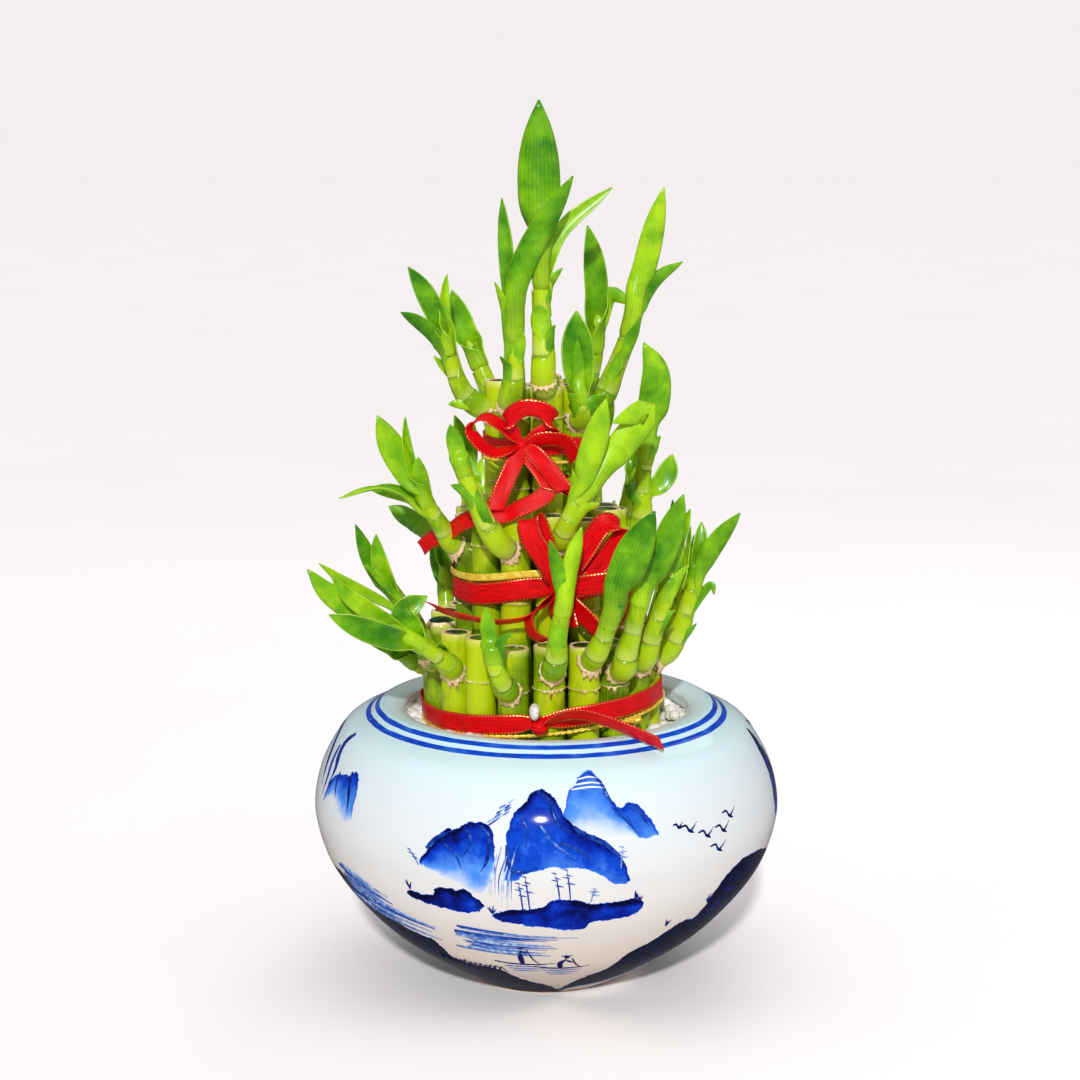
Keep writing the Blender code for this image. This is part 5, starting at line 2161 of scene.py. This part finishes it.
# The dark folds of the mountains.
FOLDS = (
    Stroke(((-2.3, 113), (0.6, 109), (1.6, 104), (3.4, 99), (7.2, 95.5)), 2.0, 0.7),
    Stroke(((6.2, 99.3), (8.6, 96), (12.3, 93), (15.4, 88.5), (17.6, 82.5)), 2.2, 0.68),
    Stroke(((-9, 92), (-8.6, 84), (-6.5, 80.5), (-2, 82.5)), 2.2, 0.68),
    Stroke(((-6.5, 104), (-4.5, 98), (-4.8, 91)), 1.4, 0.66),
    Stroke(((3, 93), (7, 90), (11, 84)), 1.7, 0.62),
    Stroke(((-1.5, 100), (1.5, 93), (6.5, 86.5)), 1.3, 0.5),
    Stroke(((-28.5, 87), (-26, 92), (-22, 96)), 2.0, 0.7),
    Stroke(((-19.5, 98), (-17.4, 92), (-19.5, 85)), 1.4, 0.68),
    Stroke(((-15.5, 99), (-13.2, 94), (-13.6, 85), (-15, 80)), 1.8, 0.7),
    Stroke(((-24, 90), (-21, 86), (-19.5, 80)), 1.4, 0.62),
    Stroke(((15.8, 106), (18.4, 101), (21.6, 94.5)), 1.1, 0.68),
    Stroke(((20.2, 106.5), (22.6, 102), (24.3, 97)), 1.4, 0.66),
    Stroke(((10.9, 119), (13.6, 115.5), (15.4, 109), (17.2, 104)), 1.4, 0.66),
)

# The long brush-loaded leaves at the side of the landscape.
SIDE_LEAVES = (
    Stroke(((-91, 117.5), (-84.5, 113.8), (-80, 108), (-77, 102), (-75, 95)), 3.6, 0.78),
    Stroke(((-70.5, 119.5), (-72.2, 115.5), (-71.5, 110.5), (-69, 105), (-69.5, 98)), 4.2, 0.72),
    Stroke(((-75, 113), (-74, 107), (-72, 100), (-72.5, 92)), 3.2, 0.6),
    Stroke(((-59, 108), (-58, 103), (-56.4, 98), (-55.8, 92)), 2.2, 0.8),
    Stroke(((-65, 105.5), (-64.5, 100), (-63, 95)), 1.8, 0.72),
)

# Where tufts of grass grow, as (heading, height).
TUFTS = ((-16.2, 60.5), (-13.0, 60), (21.0, 65.5), (22.2, 64), (-34, 66.5), (33, 47), (44.6, 55))

# White bands across the far peak, as (height, heading where it starts, heading where it ends).
MIST = ((117.2, 8.0, 13.6), (115.2, 6.6, 14.6), (113.6, 6.0, 15.0))


@dataclass
class Brushwork:
    """The landscape's fine lines, which stand a hair above the washes as thick brush cobalt does."""

    lift: float = 0.04 * MM
    thickness: float = 0.1 * MM
    lowest_mm: float = 0.6
    seed: int = LOOK_SEED + 2

    def __post_init__(self) -> None:
        """Keeps the wall's outline, to lay the strokes on."""
        points = [Vector((r, 0, z)) for r, z in OUTER_WALL_MM] + [Vector((LIP_MM[0][0], 0, LIP_MM[0][1]))]
        self.wall = smooth_path(points, 12)

    def on_wall(self, heading: float, height: float) -> tuple[Vector, Vector]:
        """The point of the wall at a heading and a height in millimetres, and the way out of it there.

        Args:
            heading: The heading, in degrees.
            height: The height in millimetres.

        Returns:
            The point and the way out.
        """
        for a, b in zip(self.wall, self.wall[1:]):
            if a.z <= height <= b.z and b.z > a.z:
                share = (height - a.z) / (b.z - a.z)
                radius = a.x + (b.x - a.x) * share
                slope = Vector((b.z - a.z, a.x - b.x)).normalized()
                out = heading_vector(heading)
                return (out * radius + UP * height) * MM, out * slope.x + UP * slope.y
        raise ValueError(f"{height} mm is off the wall")

    def strokes(self) -> list[Stroke]:
        """Every line of one half's landscape.

        Returns:
            The strokes.
        """
        rng = random.Random(self.seed)
        made = [*boat(-7, 29.5, 9.5, True), *boat(5, 26.8, 9.0, False)]
        for place in BIRDS:
            made += bird(*place)
        for place in BARE_TREES:
            made += bare_tree(*place)
        made += FOLDS
        for height, near, far in MIST:
            made.append(Stroke(((near, height - 0.4), (11, height + 0.3), (far, height - 0.5)), 0.8, 0.0))
        made += [*self.foliage(rng), *SIDE_LEAVES, *self.slopes(rng), *self.fences(rng)]
        return made

    def foliage(self, rng: random.Random) -> list[Stroke]:
        """The loose dabs of a pine beside the main peak and the grass at the islets' ends.

        Args:
            rng: The random numbers to draw from.

        Returns:
            The strokes.
        """
        made = []
        for i in range(15):
            heading = -13 + i * 0.32 + rng.uniform(-0.6, 0.6)
            height = 100.5 + i * 0.62 + rng.uniform(-2, 2)
            needles = ((-0.7, -0.8), (0, 0), (0.9, 0.9))
            made.append(dab(heading, height, needles, rng.uniform(0.7, 1.2), rng.uniform(0.25, 0.6)))
        for heading, height in TUFTS:
            for _ in range(5):
                blade = ((0, 0), (rng.uniform(-1.1, 1.1), rng.uniform(2.5, 4.5)))
                made.append(dab(heading, height, blade, 0.7, 0.8))
        return made

    def slopes(self, rng: random.Random) -> list[Stroke]:
        """The falling lines of the gorge, the level lines of the water and the slope of the left shore.

        Args:
            rng: The random numbers to draw from.

        Returns:
            The strokes.
        """
        made = []
        for i in range(9):
            heading = -12.8 + i * 0.62 + rng.uniform(-0.2, 0.2)
            top, low = rng.uniform(84, 94), rng.uniform(63, 72)
            points = ((1.3, top), (0, (top + low) / 2), (-0.3, low))
            made.append(dab(heading, 0, points, 0.6, rng.uniform(0.25, 0.6)))
        for i in range(15):
            start = -24 + rng.uniform(-3, 4) + i * 0.2
            long = rng.uniform(14, 28)
            points = ((0, 1.2), (long * 0.5, 0), (long, -0.8))
            made.append(dab(start, 36.5 + i * 0.95, points, rng.uniform(0.8, 2.1), rng.uniform(0.28, 0.58)))
        for i in range(18):
            start = -60 + rng.uniform(-3, 3)
            long = rng.uniform(18, 34) * (1 - i / 40)
            points = ((0, 3), (long * 0.5, 0), (long, -4.5))
            made.append(dab(start, 44 + i * 1.1, points, rng.uniform(1.4, 3.4), rng.uniform(0.3, 0.62)))
        return made

    def fences(self, rng: random.Random) -> list[Stroke]:
        """The dark peaked stakes on the left shore, and the pale posts and rail on the right one.

        Args:
            rng: The random numbers to draw from.

        Returns:
            The strokes.
        """
        made = []
        for i in range(13):
            height = 26.4 - 0.2 * i + rng.uniform(-0.4, 0.4)
            made.append(dab(-37 + i * 1.8, height, ((-1.2, -2.4), (0, 1.8), (1.3, -2.4)), 0.75, 0.97))
        for i in range(16):
            made.append(dab(28 + i * 2.4, 3.0 + 0.75 * i, ((0, 0), (0.7, 2.8)), 1.2, 0.12))
        made.append(dab(24, 2.2, [(i * 7, 2.1 * i) for i in range(7)], 0.9, 0.12))
        return made

    def lay(self, clay: Clay, stroke: Stroke, turn: float) -> None:
        """Lays one stroke on the wall, thin at both ends.

        Args:
            clay: The mesh to add to.
            stroke: The stroke.
            turn: Degrees that it is moved round the bowl.
        """
        path = smooth_path([Vector((heading, 0, height)) for heading, height in stroke.points], 6)
        rows = len(path) - 1
        places = [self.on_wall(spot.x + turn, max(spot.z, self.lowest_mm)) for spot in path]
        spots = [spot for spot, _ in places]

        def place(u: float, v: float) -> Spot:
            """A point of the stroke.

            Args:
                u: Across, from -1 to 1.
                v: Along, from 0 to 1.

            Returns:
                The point, along and across.
            """
            i = min(int(round(v * rows)), rows)
            spot, out = places[i]
            run = run_at(spots, i)
            half = stroke.width_mm / 2 * MM * (0.25 + 0.75 * math.sin(math.pi * min(0.12 + v, 1.0)) ** 0.6)
            return spot + run.cross(out) * (u * half) + out * (self.lift * (1.6 - 0.6 * u * u)), v, u

        clay.sheet(2, rows, place, 0, stroke.ink, self.thickness)

    def build(self) -> Object:
        """Builds every line on both halves as one piece on the bowl.

        Returns:
            The object.
        """
        clay = Clay()
        for turn in (0, 180):
            for stroke in self.strokes():
                self.lay(clay, stroke, turn)
        made = clay.piece("cobalt_brush_lines", [CobaltLine().build()])
        return made


@dataclass(frozen=True)
class CobaltLine:
    """Cobalt laid thick by a fine brush under clear glaze: tone is how much of it the brush held."""

    name: str = "brushed_cobalt_line"

    def build(self) -> Material:
        """Makes the material.

        Returns:
            The material.
        """
        made, tree = new_finish(self.name, Roughness=0.14, IOR=1.5, Specular_IOR_Level=0.12)
        place = add(tree, PLACE, out="Object")
        tone = add(tree, ATTRIBUTE, out="Fac", attribute_name="tone")
        pool = add(tree, NOISE, {"Vector": place, "Scale": per_mm(2.5), "Detail": 3.0})
        ink = add(tree, RANGE, (pool, 0.3, 0.7, -0.12, 0.12))
        ink = add(tree, "ADD", (tone, ink))
        colour = add(tree, RAMP, (ink,), stops=(
            (0.0, "#ECEFF2"), (0.16, "#D5DFF0"), (0.34, "#7C9DD2"), (0.55, "#234FAE"), (0.78, "#08207F"),
            (0.95, "#050C38")))
        return wire(made, Base_Color=colour)


@dataclass(frozen=True)
class Studio:
    """The camera, the pale floor and the lights.

    Attributes:
        eye: Where the camera stands.
        pitch: Its tilt in degrees, where 90 is level.
        lens: Its focal length in millimetres.
        sensor: The width of its sensor in millimetres.
        ambient: How much light comes from all sides.
        shine: How much of that light isn't mirrored.
        backdrop: How bright the camera sees what is behind everything.
        floor_radius: How far the floor reaches.
        floor_colour: The brightest colour of the floor.
    """

    eye: tuple = (-0.0029, -0.950, 0.370)
    pitch: float = 80.0
    lens: float = 70.5
    sensor: float = 36
    ambient: float = 0.31
    shine: float = 0.2
    backdrop: float = 0.93
    floor_radius: float = 40
    floor_colour: str = "#FCF8F8"

    def camera(self) -> None:
        """Makes the camera."""
        made = put("camera", bpy.data.cameras.new("camera"))
        made.data.lens = self.lens
        made.data.sensor_width = self.sensor
        made.location = self.eye
        made.rotation_euler = (math.radians(self.pitch), 0, 0)
        bpy.context.scene.camera = made

    def light(self, name: str, place: tuple, aim: tuple, size: float, watts: float, colour: str) -> None:
        """Adds one round area light.

        Args:
            name: Its name.
            place: Where it stands.
            aim: Where it points to.
            size: Its width.
            watts: Its power.
            colour: Its colour.
        """
        lamp = bpy.data.lights.new(name, "AREA")
        lamp.shape = "DISK"
        lamp.size = size
        lamp.energy = watts
        lamp.color = linear(colour)[:3]
        made = put(name, lamp)
        made.location = place
        made.rotation_euler = (Vector(aim) - Vector(place)).to_track_quat("-Z", "Y").to_euler()

    def sun(self, name: str, tilt: float, turn: float, wide: float, strength: float) -> Object:
        """Adds a light that falls evenly on everything, tilted and turned in degrees.

        Args:
            name: Its name.
            tilt: How far from straight down it shines.
            turn: How far round it is turned.
            wide: Its angular width in degrees.
            strength: Its strength.

        Returns:
            The light.
        """
        lamp = bpy.data.lights.new(name, "SUN")
        lamp.energy = strength
        lamp.angle = math.radians(wide)
        made = put(name, lamp)
        made.rotation_euler = (math.radians(tilt), 0, math.radians(turn))
        return made

    def floor(self) -> None:
        """Lays the floor, which isn't part of the object."""
        shape = bmesh.new()
        bmesh.ops.create_circle(shape, cap_ends=True, segments=96, radius=self.floor_radius)
        mesh = bpy.data.meshes.new("floor")
        shape.to_mesh(mesh)
        shape.free()
        finish, tree = new_finish("matt_paper_floor", Roughness=0.9, Emission_Strength=0.05)
        place = add(tree, PLACE, out="Object")
        cloud = add(tree, NOISE, {"Vector": place, "Scale": per_mm(300), "Detail": 2.0})
        colour = add(tree, RAMP, (cloud,), stops=((0.3, "#F9F5F5"), (0.7, self.floor_colour)))
        mesh.materials.append(wire(finish, Base_Color=colour))
        made = put("floor", mesh)
        made.visible_glossy = False

    def build(self) -> None:
        """Sets up the whole studio."""
        self.camera()
        self.floor()
        self.light("fill", (0.9, -0.5, 0.6), (0, 0, 0.15), 0.5, 0.7, "#FFF7F2")
        self.light("rim", (0.35, 0.8, 0.9), (0, 0, 0.3), 0.5, 1.4, "#F2F7FF")
        self.sun("flash", 59, -3, 3, 2.5)
        self.sun("ceiling", 0, 0, 90, 0.8).visible_glossy = False
        world = bpy.context.scene.world or bpy.data.worlds.new("studio")
        bpy.context.scene.world = world
        world.use_nodes = True
        tree = world.node_tree
        seen = add(tree, "ShaderNodeLightPath", out="Is Camera Ray")
        shine = add(tree, "MULTIPLY_ADD", (seen.node.outputs["Is Glossy Ray"], -self.shine, self.ambient))
        strength = add(tree, RANGE, (seen, 0.0, 1.0, shine, self.backdrop))
        back = tree.nodes["Background"]
        back.inputs["Color"].default_value = linear("#FAF6F6")
        tree.links.new(strength, back.inputs["Strength"])
        bpy.context.scene.view_settings.view_transform = "Standard"


def main() -> None:
    """Loads the frame, builds every piece and sets the studio round them."""
    logging.basicConfig(level=logging.INFO, format="%(name)s: %(message)s")
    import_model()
    Studio().build()
    pieces = [Bowl().build(), Brushwork().build(), PebbleBed().build(RiverPebble().build())]
    greens = [
        CaneSkin("fresh_cane_skin", "#B4C808", "#7A9C05", "#2C4E04").build(),
        ShootSkin("young_shoot_skin", "#A9C812", "#7AA60A", "#3C6E06").build(),
        LeafBlade("glossy_leaf_blade", "#A6D40A", "#6AAA05", "#2F7604").build(),
        DrySkin().build(),
        SealWax().build(),
    ]
    pieces += Grove().build(greens)
    satin, gold = SatinRibbon().build(), GoldFoil().build()
    for tier_name, tie in TIES.items():
        pieces.append(RibbonTie(tier_name, TIERS[tier_name], tie).build(satin))
        pieces.append(GoldTie(tier_name, TIERS[tier_name], tie).build(gold))
    for piece in pieces:
        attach(piece, BODY)


if __name__ == "__main__":
    main()
